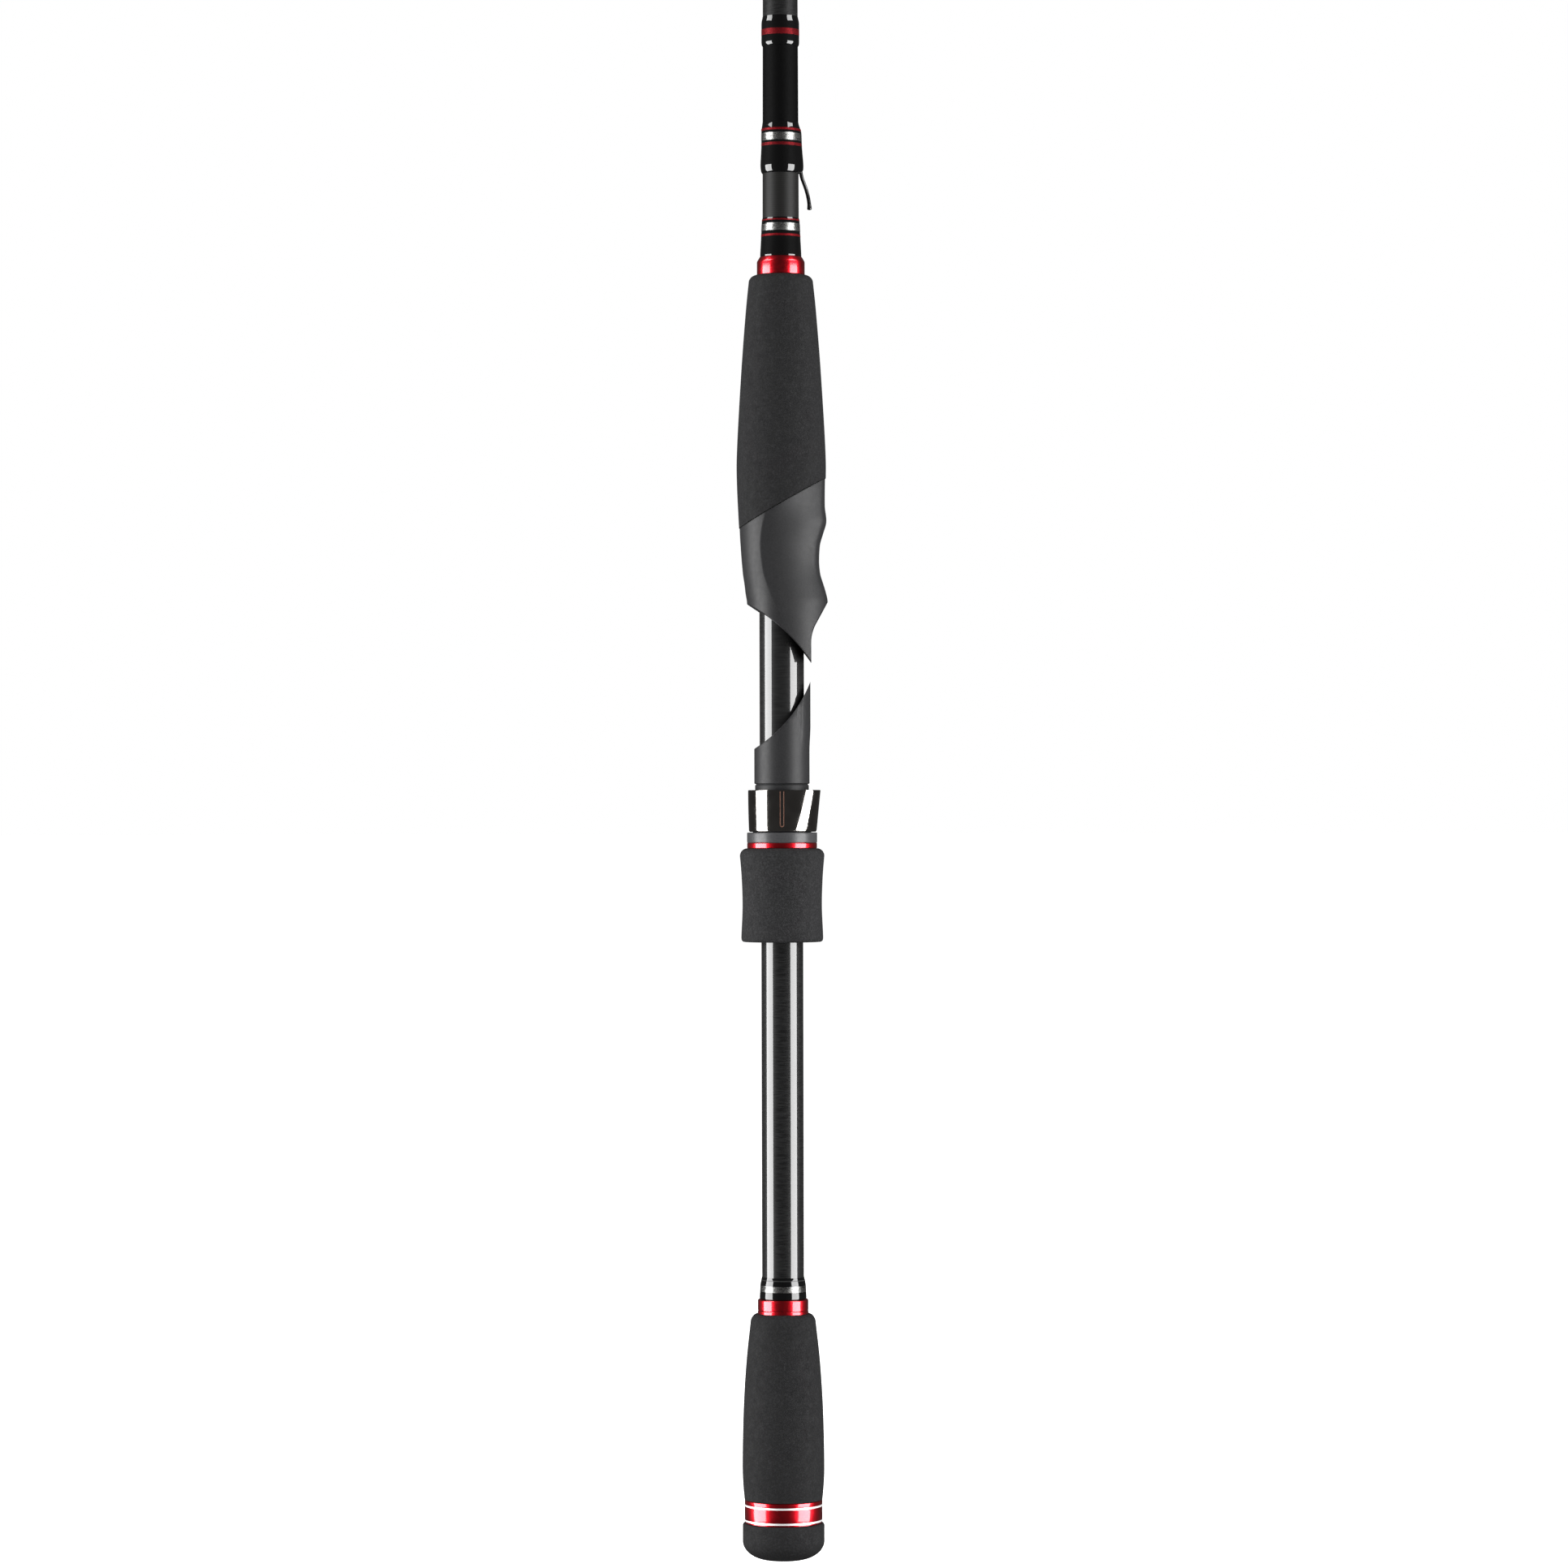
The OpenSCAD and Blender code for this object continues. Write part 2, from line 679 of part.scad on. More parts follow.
// Wire hook: a foot under the wrap, then an open prong that hangs down beside the blank
keeper_foot_len = 13;
module hook_keeper() {
    foot_x = rod_r(z_keeper) + keeper_wire_r + glue_gap;
    route = [
        [foot_x - 0.1, z_keeper + keeper_foot_len],
        [foot_x, z_keeper - 0.6],
        [foot_x + 1.3, z_keeper - 3.4],
        [foot_x + 2.7, z_keeper - 6.4],
        [foot_x + 3, z_keeper - 12.4]
    ];
    color("#111111")
        for (i = [0 : len(route) - 2])
            hull()
                for (p = [route[i], route[i + 1]])
                    translate([p[0], 0, p[1]])
                        sphere(r = keeper_wire_r, $fn = 16);
}

// Wrap that binds a foot of the given thickness and width on the reel side,
// with a bump that fades at both ends
module bound_wrap(z0, z1, foot_t, foot_w) {
    low_r = rod_r(z0);
    bump_r = max(low_r - 0.6, foot_w / 2 + wrap_t + 0.4);
    bump_x = low_r + foot_t + wrap_t - bump_r;
    fade = 2;
    lift = foot_t * 0.8;
    color("#141414")
        difference() {
            union() {
                wrap(z0, z1);
                translate([bump_x, 0, z0 + 0.4])
                    cylinder(h = fade, r1 = bump_r - lift, r2 = bump_r);
                translate([bump_x, 0, z0 + 0.4 + fade - eps])
                    cylinder(h = z1 - z0 - 2 * fade - 0.8 + 2 * eps, r = bump_r);
                translate([bump_x, 0, z1 - fade - 0.4])
                    cylinder(h = fade, r1 = bump_r, r2 = bump_r - lift);
            }
            revolve([[0, z0 - 1], [rod_r(z0) + glue_gap, z0 - 1],
                     [rod_r(z1) + glue_gap, z1 + 1], [0, z1 + 1]]);
            children();
        }
}

module keeper_wrap() {
    foot_x = rod_r(z_keeper) + keeper_wire_r + glue_gap;
    bound_wrap(z_keeper, z_label, 2 * keeper_wire_r, 2 * keeper_wire_r)
        translate([foot_x - 0.1, 0, z_keeper - 1])
            cylinder(h = keeper_foot_len + 1.8, r = keeper_wire_r + glue_gap);
}

module top_wrap() {
    color("#141414")
        wrap(z_top_wrap, z_top_wrap + top_wrap_len);
}

// ---- Line guides ----

guide_count = 6;
foot_t = guide_sheet;
first_guide_z = butt_section_len - first_guide_gap;
spacing_sum = (pow(spacing_growth, guide_count) - 1) / (spacing_growth - 1);
tip_spacing = (rod_len - first_guide_z) / spacing_sum;
// Guide i of 1 to guide_count, counted from the reel:
// its height, frame diameter and the height of its ring's centre
function guide_z(i) = first_guide_z
    + tip_spacing * (spacing_sum - (pow(spacing_growth, guide_count + 1 - i) - 1) / (spacing_growth - 1));
function guide_d(i) = last_guide_d + (first_guide_d - last_guide_d) * pow(0.52, i - 1);
function ring_x(i) = rod_r(guide_z(i)) + 3.4 + guide_d(i) * 0.84;
function ring_out_r(d) = d / 2 - guide_sheet;
function ring_in_r(d) = ring_out_r(d) - 0.5 - 0.05 * d;
function ring_depth(d) = 1.2 + 0.05 * d;
ring_land = 1;
function foot_len(i) = 8 + 0.45 * guide_d(i);
function foot_w(i) = 1.6 + 0.07 * guide_d(i);
two_feet_count = 2;

module rod_between(a, b, r) {
    hull()
        for (p = [a, b])
            translate(p)
                sphere(r = r, $fn = 16);
}

// Foot, legs and ring holder. The foot lies along the blank;
// a two-footed guide has a second one towards the tip.
module guide_frame(i) {
    d = guide_d(i);
    z = guide_z(i);
    x = ring_x(i);
    r = guide_sheet * 0.55;
    seat_x = rod_r(z - foot_len(i)) + foot_t / 2;
    foot_z = z - foot_len(i) * 0.55 - d * 0.2;
    side = d / 2 * 0.8;
    hold_x = x - d / 2 * 0.5;
    color("#2e2e30")
        difference() {
            union() {
                translate([x, 0, z - ring_depth(d) / 2])
                    cylinder(h = ring_depth(d), r = d / 2);
                for (s = [-1, 1])
                    rod_between([seat_x, s * 0.3, foot_z], [hold_x, s * side, z], r);
                translate([rod_r(z), -foot_w(i) / 2, foot_z - foot_len(i)])
                    cube([foot_t, foot_w(i), foot_len(i) + 0.5]);
                if (i <= two_feet_count) {
                    rod_between([seat_x, 0, z + foot_len(i) * 0.55 + d * 0.2],
                                [x - d / 2 + r, 0, z], r * 1.3);
                    translate([rod_r(z), -foot_w(i) / 2, z + foot_len(i) * 0.55 + d * 0.2 - 0.5])
                        cube([foot_t, foot_w(i), foot_len(i) + 0.5]);
                }
            }
            translate([x, 0, z - d])
                cylinder(h = 2 * d, r = ring_out_r(d));
            revolve([[0, z - 60], [rod_r(z - 60) + glue_gap, z - 60],
                     [rod_r(z + 60) + glue_gap, z + 60], [0, z + 60]]);
        }
}

// Ceramic ring, rounded either side of a short straight land
module eye(d, x, z) {
    out_r = ring_out_r(d) - glue_gap;
    in_r = ring_in_r(d);
    half = ring_depth(d) / 2;
    bead = half - ring_land / 2;
    color("#15171a")
        translate([x, 0, z])
            revolve(concat(
                arc([in_r + bead, half - bead], bead, 90, 180, 5),
                arc([in_r + bead, bead - half], bead, 180, 270, 5),
                [[out_r, -half], [out_r, half]]
            ));
}

module guide_ring(i) {
    eye(guide_d(i), ring_x(i), guide_z(i));
}

module guide_wrap(i, towards_tip) {
    z = guide_z(i);
    reach = foot_len(i) * 0.55 + guide_d(i) * 0.2;
    z0 = towards_tip ? z + reach + 1 : z - reach - foot_len(i) - 3;
    z1 = towards_tip ? z + reach + foot_len(i) + 3 : z - reach - 1;
    bound_wrap(z0, z1, foot_t + 0.35, foot_w(i))
        translate([0, -foot_w(i) / 2 - glue_gap, z - reach - foot_len(i) - glue_gap])
            cube([rod_r(z) + foot_t + glue_gap, foot_w(i) + 2 * glue_gap,
                  2 * (reach + foot_len(i) + glue_gap)]);
}

module guide_wraps(i) {
    guide_wrap(i, false);
    if (i <= two_feet_count)
        guide_wrap(i, true);
}

// Tip-top: a tube over the blank's end, with two rods up to its ring
tip_tube_len = 13;
tip_tube_wall = 0.45;
tip_x = blank_tip_r + 1.4 + last_guide_d / 2;
tip_ring_z = rod_len - ring_depth(last_guide_d) / 2;
module tip_top_frame() {
    tube_r0 = tip_out_r(tip_end_z - tip_tube_len) + glue_gap;
    out_r = tube_r0 + tip_tube_wall;
    d = last_guide_d;
    color("#2e2e30")
        difference() {
            union() {
                translate([0, 0, tip_end_z - tip_tube_len])
                    cylinder(h = tip_tube_len + 0.5, r = out_r);
                translate([tip_x, 0, tip_ring_z - ring_depth(d) / 2])
                    cylinder(h = ring_depth(d), r = d / 2);
                for (s = [-1, 1])
                    rod_between([0.3, s * 0.5, tip_end_z - 5],
                                [tip_x - 0.4, s * (d / 2 - 0.25), tip_ring_z], 0.42);
            }
            translate([tip_x, 0, tip_ring_z - d])
                cylinder(h = 2 * d, r = ring_out_r(d));
            translate([0, 0, tip_end_z - tip_tube_len - 1])
                cylinder(h = tip_tube_len + 1 + glue_gap, r = tube_r0);
        }
}

module tip_top_ring() {
    eye(last_guide_d, tip_x, tip_ring_z);
}

module tip_top_wrap() {
    z1 = tip_end_z - tip_tube_len - 0.1;
    color("#141414")
        wrap(z1 - 7, z1, 0.35);
}

butt_cap();
butt_plug();
butt_ring();
rear_grip();
rear_winding_check();
rear_trim_wrap();
butt_blank();
seat_tube();
seat_shim();
rear_seat();
front_seat();
nut_core();
nut_ring();
nut_grip();
hood_shell();
hood_liner();
fore_grip();
fore_winding_check();
fore_trim_wrap();
hook_keeper();
keeper_wrap();
top_wrap();
ferrule_rear_wrap();
ferrule_front_wrap();
tip_blank();
guide_frame(1);  // guide_1_frame
guide_ring(1);  // guide_1_ring
guide_wraps(1);  // guide_1_wraps
guide_frame(2);  // guide_2_frame
guide_ring(2);  // guide_2_ring
guide_wraps(2);  // guide_2_wraps
guide_frame(3);  // guide_3_frame
guide_ring(3);  // guide_3_ring
guide_wraps(3);  // guide_3_wrap
guide_frame(4);  // guide_4_frame
guide_ring(4);  // guide_4_ring
guide_wraps(4);  // guide_4_wrap
guide_frame(5);  // guide_5_frame
guide_ring(5);  // guide_5_ring
guide_wraps(5);  // guide_5_wrap
guide_frame(6);  // guide_6_frame
guide_ring(6);  // guide_6_ring
guide_wraps(6);  // guide_6_wrap
tip_top_frame();
tip_top_ring();
tip_top_wrap();
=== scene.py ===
from math import acos, atan2, cos, exp, hypot, pi, radians, sin, sqrt, tau

import bmesh
import bpy
from mathutils import Matrix, Vector


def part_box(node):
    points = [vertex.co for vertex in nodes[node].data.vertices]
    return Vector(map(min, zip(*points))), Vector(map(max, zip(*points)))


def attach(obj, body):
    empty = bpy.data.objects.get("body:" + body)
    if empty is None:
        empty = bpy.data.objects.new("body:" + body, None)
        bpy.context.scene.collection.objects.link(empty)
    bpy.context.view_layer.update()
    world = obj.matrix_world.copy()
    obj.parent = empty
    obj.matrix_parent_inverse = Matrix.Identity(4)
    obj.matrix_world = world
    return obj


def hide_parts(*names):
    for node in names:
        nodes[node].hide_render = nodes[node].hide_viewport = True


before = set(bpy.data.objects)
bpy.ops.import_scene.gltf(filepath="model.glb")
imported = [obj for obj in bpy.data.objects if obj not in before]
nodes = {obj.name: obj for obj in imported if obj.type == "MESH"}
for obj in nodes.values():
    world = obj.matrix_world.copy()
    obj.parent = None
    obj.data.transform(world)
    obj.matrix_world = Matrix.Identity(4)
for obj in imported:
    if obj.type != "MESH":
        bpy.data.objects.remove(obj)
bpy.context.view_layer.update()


# ---- Butt cap ----
# The cap is a block of closed-cell EVA foam, glued over the end of the blank.
# It is turned on a lathe to a dome, and its upper edge is eased where it meets the ring.
mm = 0.001


def noise(grain, detail=2.0, stretch=(1, 1, 1)):
    """A soft random pattern whose grains are about this large."""
    def lay(finish):
        mapping = finish.nodes.new("ShaderNodeMapping")
        mapping.inputs["Scale"].default_value = stretch
        finish.links.new(finish.place, mapping.inputs["Vector"])
        pattern = finish.nodes.new("ShaderNodeTexNoise")
        pattern.inputs["Scale"].default_value = 1 / grain
        pattern.inputs["Detail"].default_value = detail
        finish.links.new(mapping.outputs["Vector"], pattern.inputs["Vector"])
        return pattern.outputs["Fac"]
    return lay


def rings(pitch, wander=0.0):
    """Even rings along the rod, one for each pitch."""
    def lay(finish):
        rings_at_scale_one = 20 / tau
        pattern = finish.nodes.new("ShaderNodeTexWave")
        pattern.bands_direction = "Z"
        pattern.inputs["Scale"].default_value = 1 / (pitch * rings_at_scale_one)
        pattern.inputs["Distortion"].default_value = wander
        finish.links.new(finish.place, pattern.inputs["Vector"])
        return pattern.outputs["Fac"]
    return lay


def grey(value):
    """A dark neutral, a shade cooler than plain grey."""
    return value, value, 1.05 * value


class Finish:
    """One surface finish: a shader, and patterns measured on the piece that feed it."""

    def __init__(self, name, roughness, metallic=0.0, specular=0.5, coat=0.0, coat_roughness=0.03,
                 colour=None):
        self.material = bpy.data.materials.new(name)
        self.material.use_nodes = True
        self.nodes = self.material.node_tree.nodes
        self.links = self.material.node_tree.links
        self.shader = self.nodes["Principled BSDF"]
        if colour:
            self.shader.inputs["Base Color"].default_value = (*colour, 1)
        for key, value in (("Roughness", roughness), ("Metallic", metallic), ("Coat Weight", coat),
                           ("Specular IOR Level", specular), ("Coat Roughness", coat_roughness)):
            self.shader.inputs[key].default_value = value
        self.place = self.nodes.new("ShaderNodeTexCoord").outputs["Object"]
        self.under = None

    def scaled(self, pattern, low, high, to_low=0.0, to_high=1.0):
        """The pattern's values from low to high, stretched over another span."""
        amount = self.nodes.new("ShaderNodeMapRange")
        for name, value in zip(("From Min", "From Max", "To Min", "To Max"), (low, high, to_low, to_high)):
            amount.inputs[name].default_value = value
        self.links.new(pattern(self), amount.inputs["Value"])
        return amount.outputs["Result"]

    def tint(self, pattern, low, high, start=0.4, end=0.6):
        """Two colours, mixed by the pattern."""
        ramp = self.nodes.new("ShaderNodeValToRGB")
        for stop, position, colour in zip(ramp.color_ramp.elements, (start, end), (low, high)):
            stop.position = position
            stop.color = (*colour, 1)
        self.links.new(pattern(self), ramp.inputs["Fac"])
        self.links.new(ramp.outputs["Color"], self.shader.inputs["Base Color"])
        return self

    def fleck(self, pattern, colour, start, end):
        """A further colour over the tint, where the pattern is high."""
        mix = self.nodes.new("ShaderNodeMix")
        mix.data_type = "RGBA"
        below, above = (k for k in mix.inputs if k.identifier.endswith("_Color"))
        self.links.new(self.scaled(pattern, start, end), mix.inputs["Factor"])
        self.links.new(self.shader.inputs["Base Color"].links[0].from_socket, below)
        above.default_value = (*colour, 1)
        mixed = next(k for k in mix.outputs if k.identifier.endswith("_Color"))
        self.links.new(mixed, self.shader.inputs["Base Color"])
        return self

    def polish(self, pattern, low, high):
        """Roughness that wanders with the pattern."""
        self.links.new(self.scaled(pattern, 0.3, 0.7, low, high), self.shader.inputs["Roughness"])
        return self

    def relief(self, pattern, depth, strength=1.0):
        """Fine bumps of this depth, laid over any that are there."""
        bump = self.nodes.new("ShaderNodeBump")
        bump.inputs["Distance"].default_value = depth
        bump.inputs["Strength"].default_value = strength
        self.links.new(pattern(self), bump.inputs["Height"])
        if self.under:
            self.links.new(self.under, bump.inputs["Normal"])
        self.under = bump.outputs["Normal"]
        self.links.new(self.under, self.shader.inputs["Normal"])
        return self


def foam(name, dark, light):
    return (Finish(name, 0.84, specular=0.14)
            .tint(noise(0.4 * mm, 3), dark, light, 0.32, 0.7)
            .fleck(noise(0.8 * mm, 1), [1.35 * c for c in light], 0.5, 0.85)
            .polish(noise(2.5 * mm), 0.78, 0.9)
            .relief(noise(0.4 * mm), 0.05 * mm).material)


def heights_and_radius(node):
    """Bottom, top and widest radius of a turned CAD piece."""
    low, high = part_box(node)
    return low.z, high.z, high.y


def arc(centre, across, along, start, end, steps):
    """Points of an arc in (radius, height), with its own radius across and along the rod."""
    turns = [radians(start + (end - start) * i / steps) for i in range(steps + 1)]
    return [(centre[0] + across * cos(a), centre[1] + along * sin(a)) for a in turns]


def between(a, b, c, d, t):
    """Values a part t of the way from b to c, on the smooth line through all four."""
    return tuple(0.5 * (2 * q + (r - p) * t + (2 * p - 5 * q + 4 * r - s) * t**2
                        + (3 * q - p - 3 * r + s) * t**3)
                 for p, q, r, s in zip(a, b, c, d))


def smooth_through(points, steps):
    """A smooth line through the points, of any number of values each."""
    line = []
    last = len(points) - 1
    for i in range(last):
        around = points[max(i - 1, 0)], points[i], points[i + 1], points[min(i + 2, last)]
        line += [between(*around, k / steps) for k in range(steps)]
    return line + [tuple(points[last])]


def eased(outline, radius, steps=3):
    """The closed outline with each corner rounded, as a tool or a mould leaves it."""
    done = []
    count = len(outline)
    for i in range(count):
        before, here, after = (Vector(outline[(i + k) % count]) for k in (-1, 0, 1))
        to_before, to_after = before - here, after - here
        reach = min(radius, to_before.length * 0.45, to_after.length * 0.45)
        if reach < 1e-6 or here.x < 1e-6:
            done.append(tuple(here))
            continue
        start, end = here + to_before.normalized() * reach, here + to_after.normalized() * reach
        for k in range(steps + 1):
            t = k / steps
            done.append(tuple(start * (1 - t) ** 2 + here * 2 * t * (1 - t) + end * t * t))
    return done


def make_object(name, work, materials, sharp=32):
    """The worked mesh as an object, smooth but for edges sharper than the angle."""
    mesh = bpy.data.meshes.new(name)
    work.to_mesh(mesh)
    work.free()
    for material in materials:
        mesh.materials.append(material)
    mesh.shade_smooth()
    mesh.set_sharp_from_angle(angle=radians(sharp))
    made = bpy.data.objects.new(name, mesh)
    bpy.context.scene.collection.objects.link(made)
    return made


def runs_clockwise(outline):
    return sum(p[0] * q[1] - q[0] * p[1] for p, q in zip(outline, outline[1:] + outline[:1])) < 0


def turn(name, outline, materials, sides=128, angles=None, bands=()):
    """A solid turned round the rod from a closed outline of (radius, height) points.
    A radius may be a function of the angle. Faces whose height lies in a band take the second material."""
    angles = angles or [tau * k / sides for k in range(sides)]
    at = lambda radius, a: radius(a) if callable(radius) else radius
    if runs_clockwise([(at(r, 0), z) for r, z in outline]):
        outline = outline[::-1]
    work = bmesh.new()
    rows = []
    for radius, z in outline:
        if at(radius, 0) < 1e-7:
            rows.append([work.verts.new((0, 0, z))])
        else:
            rows.append([work.verts.new((at(radius, a) * cos(a), at(radius, a) * sin(a), z)) for a in angles])
    around = len(angles)
    for low, high in zip(rows, rows[1:] + rows[:1]):
        for k in range(around):
            n = (k + 1) % around
            corners = dict.fromkeys(
                row[i % len(row)] for row, i in ((low, k), (low, n), (high, n), (high, k)))
            if len(corners) > 2:
                face = work.faces.new(list(corners))
                centre = face.calc_center_median().z
                face.material_index = int(any(z0 < centre < z1 for z0, z1 in bands))
    return make_object(name, work, materials)


def fit(piece, body, slot, *stands_for):
    """The piece rides on its body and hides the CAD nodes it stands for. The slot is not used."""
    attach(piece, body)
    if stands_for:
        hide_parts(*stands_for)
    return piece


def paint(node, material):
    """Gives a CAD piece that shows as it is its finish."""
    nodes[node].material_slots[0].material = material


def outer_line(node):
    """(height, radius) of a turned CAD piece's outside, from its faces that look outwards."""
    levels = {}
    mesh = nodes[node].data
    for face in mesh.polygons:
        out, centre = face.normal.xy, face.center.xy
        if out.dot(centre) > 0.3 * centre.length:
            for v in (mesh.vertices[k].co for k in face.vertices):
                z = round(v.z, 5)
                levels[z] = max(levels.get(z, 0), v.xy.length)
    return sorted(levels.items())


def radius_on(line, z):
    """Radius of the outside line at a height."""
    for (z0, r0), (z1, r1) in zip(line, line[1:]):
        if z <= z1:
            return r0 + (r1 - r0) * (z - z0) / (z1 - z0)
    return line[-1][1]


def bore_at(z):
    """Radius of a bore that is glued on the blank at this height."""
    return radius_on(blank_line, z) + glue


blank_line = outer_line("butt_blank")
glue = 0.05 * mm
black_foam = foam("black_foam", grey(0.0050), grey(0.0104))

z0, z1, cap_r = heights_and_radius("butt_cap")
cap_flat = 5 * mm
cap_dome = 6.4 * mm
cap_edge = 0.9 * mm
cap_bore = bore_at(z1)
cap_floor = z0 + 7 * mm
cap_outline = (
    [(0, z0), (cap_flat, z0)]
    + arc((cap_flat, z0 + cap_dome), cap_r - cap_flat, cap_dome, -86, 0, 22)
    + arc((cap_r - cap_edge, z1 - cap_edge), cap_edge, cap_edge, 4, 90, 6)
    + [(cap_bore, z1), (cap_bore, cap_floor), (0, cap_floor)])
fit(turn("butt_cap_foam", cap_outline, [black_foam]), "rod", "eva_foam", "butt_cap")


# ---- Butt plug ----
# A moulded rubber bung, pushed and glued into the open end of the blank.
# It keeps water out, and takes the knock when the rod is stood on its end.
paint("butt_plug", Finish("plug_rubber", 0.8)
      .tint(noise(0.8 * mm), (0.012, 0.012, 0.012), (0.025, 0.025, 0.025))
      .relief(noise(0.4 * mm), 0.04 * mm).material)


# ---- Butt ring ----
# An aluminium ring, turned and anodised red, then bright-cut twice so that two silver lines show.
# It is glued to the blank between the cap and the rear grip.
red_anodised = (Finish("red_anodised", 0.3, metallic=1.0, coat=0.9, coat_roughness=0.12)
                .tint(noise(0.6 * mm, 1, (1, 1, 5)), (0.46, 0.005, 0.012), (0.52, 0.007, 0.016))
                .polish(noise(1.5 * mm), 0.28, 0.33)
                .relief(rings(0.12 * mm, 0.6), 0.0006 * mm).material)
bright_cut = (Finish("bright_cut", 0.42, metallic=0.75, specular=0.6, colour=(0.9, 0.88, 0.88))
              .polish(noise(0.6 * mm, 1, (1, 1, 4)), 0.4, 0.46)
              .relief(rings(0.12 * mm), 0.0004 * mm).material)

z0, z1, ring_r = heights_and_radius("butt_ring")
bevel = 0.25 * mm
groove_half, groove_deep = 0.32 * mm, 0.06 * mm
grooves = [z0 + 0.95 * mm, z1 - 1.9 * mm]
ring_outline = [(cap_bore, z0), (ring_r - bevel, z0), (ring_r, z0 + bevel)]
for middle in grooves:
    ring_outline += [(ring_r, middle - groove_half), (ring_r - groove_deep, middle - groove_half * 0.5),
                     (ring_r - groove_deep, middle + groove_half * 0.5), (ring_r, middle + groove_half)]
ring_outline += [(ring_r, z1 - bevel), (ring_r - bevel, z1), (cap_bore, z1)]
fit(turn("butt_ring_turned", ring_outline, [red_anodised, bright_cut],
         bands=[(g - groove_half, g + groove_half) for g in grooves]),
    "rod", "red_anodised", "butt_ring")


# ---- Rear grip ----
# EVA foam reamed to the blank and glued on it, then turned and sanded to a low belly and a long taper.
# The sanded shoulder leaves a small round edge below the winding check.
z0, z1, belly_r = heights_and_radius("rear_grip")
length = z1 - z0
shoulder = 3.3 * mm
top_r = 11.2 * mm
neck_r = top_r - 2.5 * mm
foot_r = ring_r + 0.05 * mm
grip_bore = bore_at(z0)
grip_side = smooth_through([
    (foot_r, z0), (belly_r, z0 + 0.16 * length),
    (belly_r - 0.14 * (belly_r - top_r), z0 + 0.48 * length),
    (belly_r - 0.5 * (belly_r - top_r), z0 + 0.74 * length), (top_r, z1 - shoulder)], 12)
fit(turn("rear_grip_foam",
         [(foot_r - 0.3 * mm, z0), (foot_r, z0 + 0.05 * mm)] + grip_side[1:]
         + arc((neck_r, z1 - shoulder), top_r - neck_r, shoulder, 10, 90, 10)
         + [(grip_bore, z1), (grip_bore, z0)], [black_foam]),
    "rod", "eva_foam", "rear_grip")


# ---- Rear winding check ----
# A small aluminium collar, anodised red, pushed down against the grip's shoulder and glued.
# It hides the end of the foam, and its nose is rounded down to the thread above it.
z0, z1, check_r = heights_and_radius("rear_winding_check")
nose = 0.55 * mm
groove_r, nose_r = check_r - 0.12 * mm, check_r - 0.02 * mm
check_bore = bore_at(z1)
check_foot = eased([(check_bore, z0), (check_r, z0), (check_r, z0 + 0.9 * mm), (groove_r, z0 + 1.05 * mm)],
                   0.05 * mm, 1)[:-1]
fit(turn("rear_winding_check_turned",
         check_foot + [(groove_r, z0 + 1.2 * mm), (nose_r, z0 + 1.35 * mm)]
         + arc((nose_r - nose, z1 - nose), nose, nose, 0, 90, 8) + [(check_bore, z1)], [red_anodised]),
    "rod", "red_anodised", "rear_winding_check")


# ---- Rear trim wrap ----
# Nylon thread, wound on by hand above the check and sealed in clear epoxy, brushed on as the rod turns.
# A silver band and a thin grey line show in the black, and the epoxy thins out at its upper end.
wrap_black = (Finish("wrap_under_epoxy", 0.5, specular=0.02, coat=1.0)
              .tint(rings(0.22 * mm, 0.2), grey(0.0007), grey(0.0017), 0.3, 0.8)
              .relief(rings(0.22 * mm), 0.01 * mm).material)
silver_thread = (Finish("silver_thread", 0.3, metallic=1.0, coat=0.6)
                 .tint(noise(0.5 * mm, 2, (1, 1, 2.5)), (0.1, 0.1, 0.1), (0.62, 0.62, 0.6), 0.34, 0.66)
                 .relief(noise(0.3 * mm), 0.006 * mm).material)
red_thread = (Finish("red_thread", 0.44, metallic=0.6, specular=0.15)
              .tint(noise(0.5 * mm), (0.11, 0.002, 0.0045), (0.18, 0.004, 0.0075))
              .relief(noise(0.25 * mm), 0.01 * mm).material)
grey_thread = (Finish("grey_thread", 0.5, specular=0.2)
               .tint(noise(0.4 * mm), (0.02, 0.02, 0.02), (0.04, 0.04, 0.04)).material)


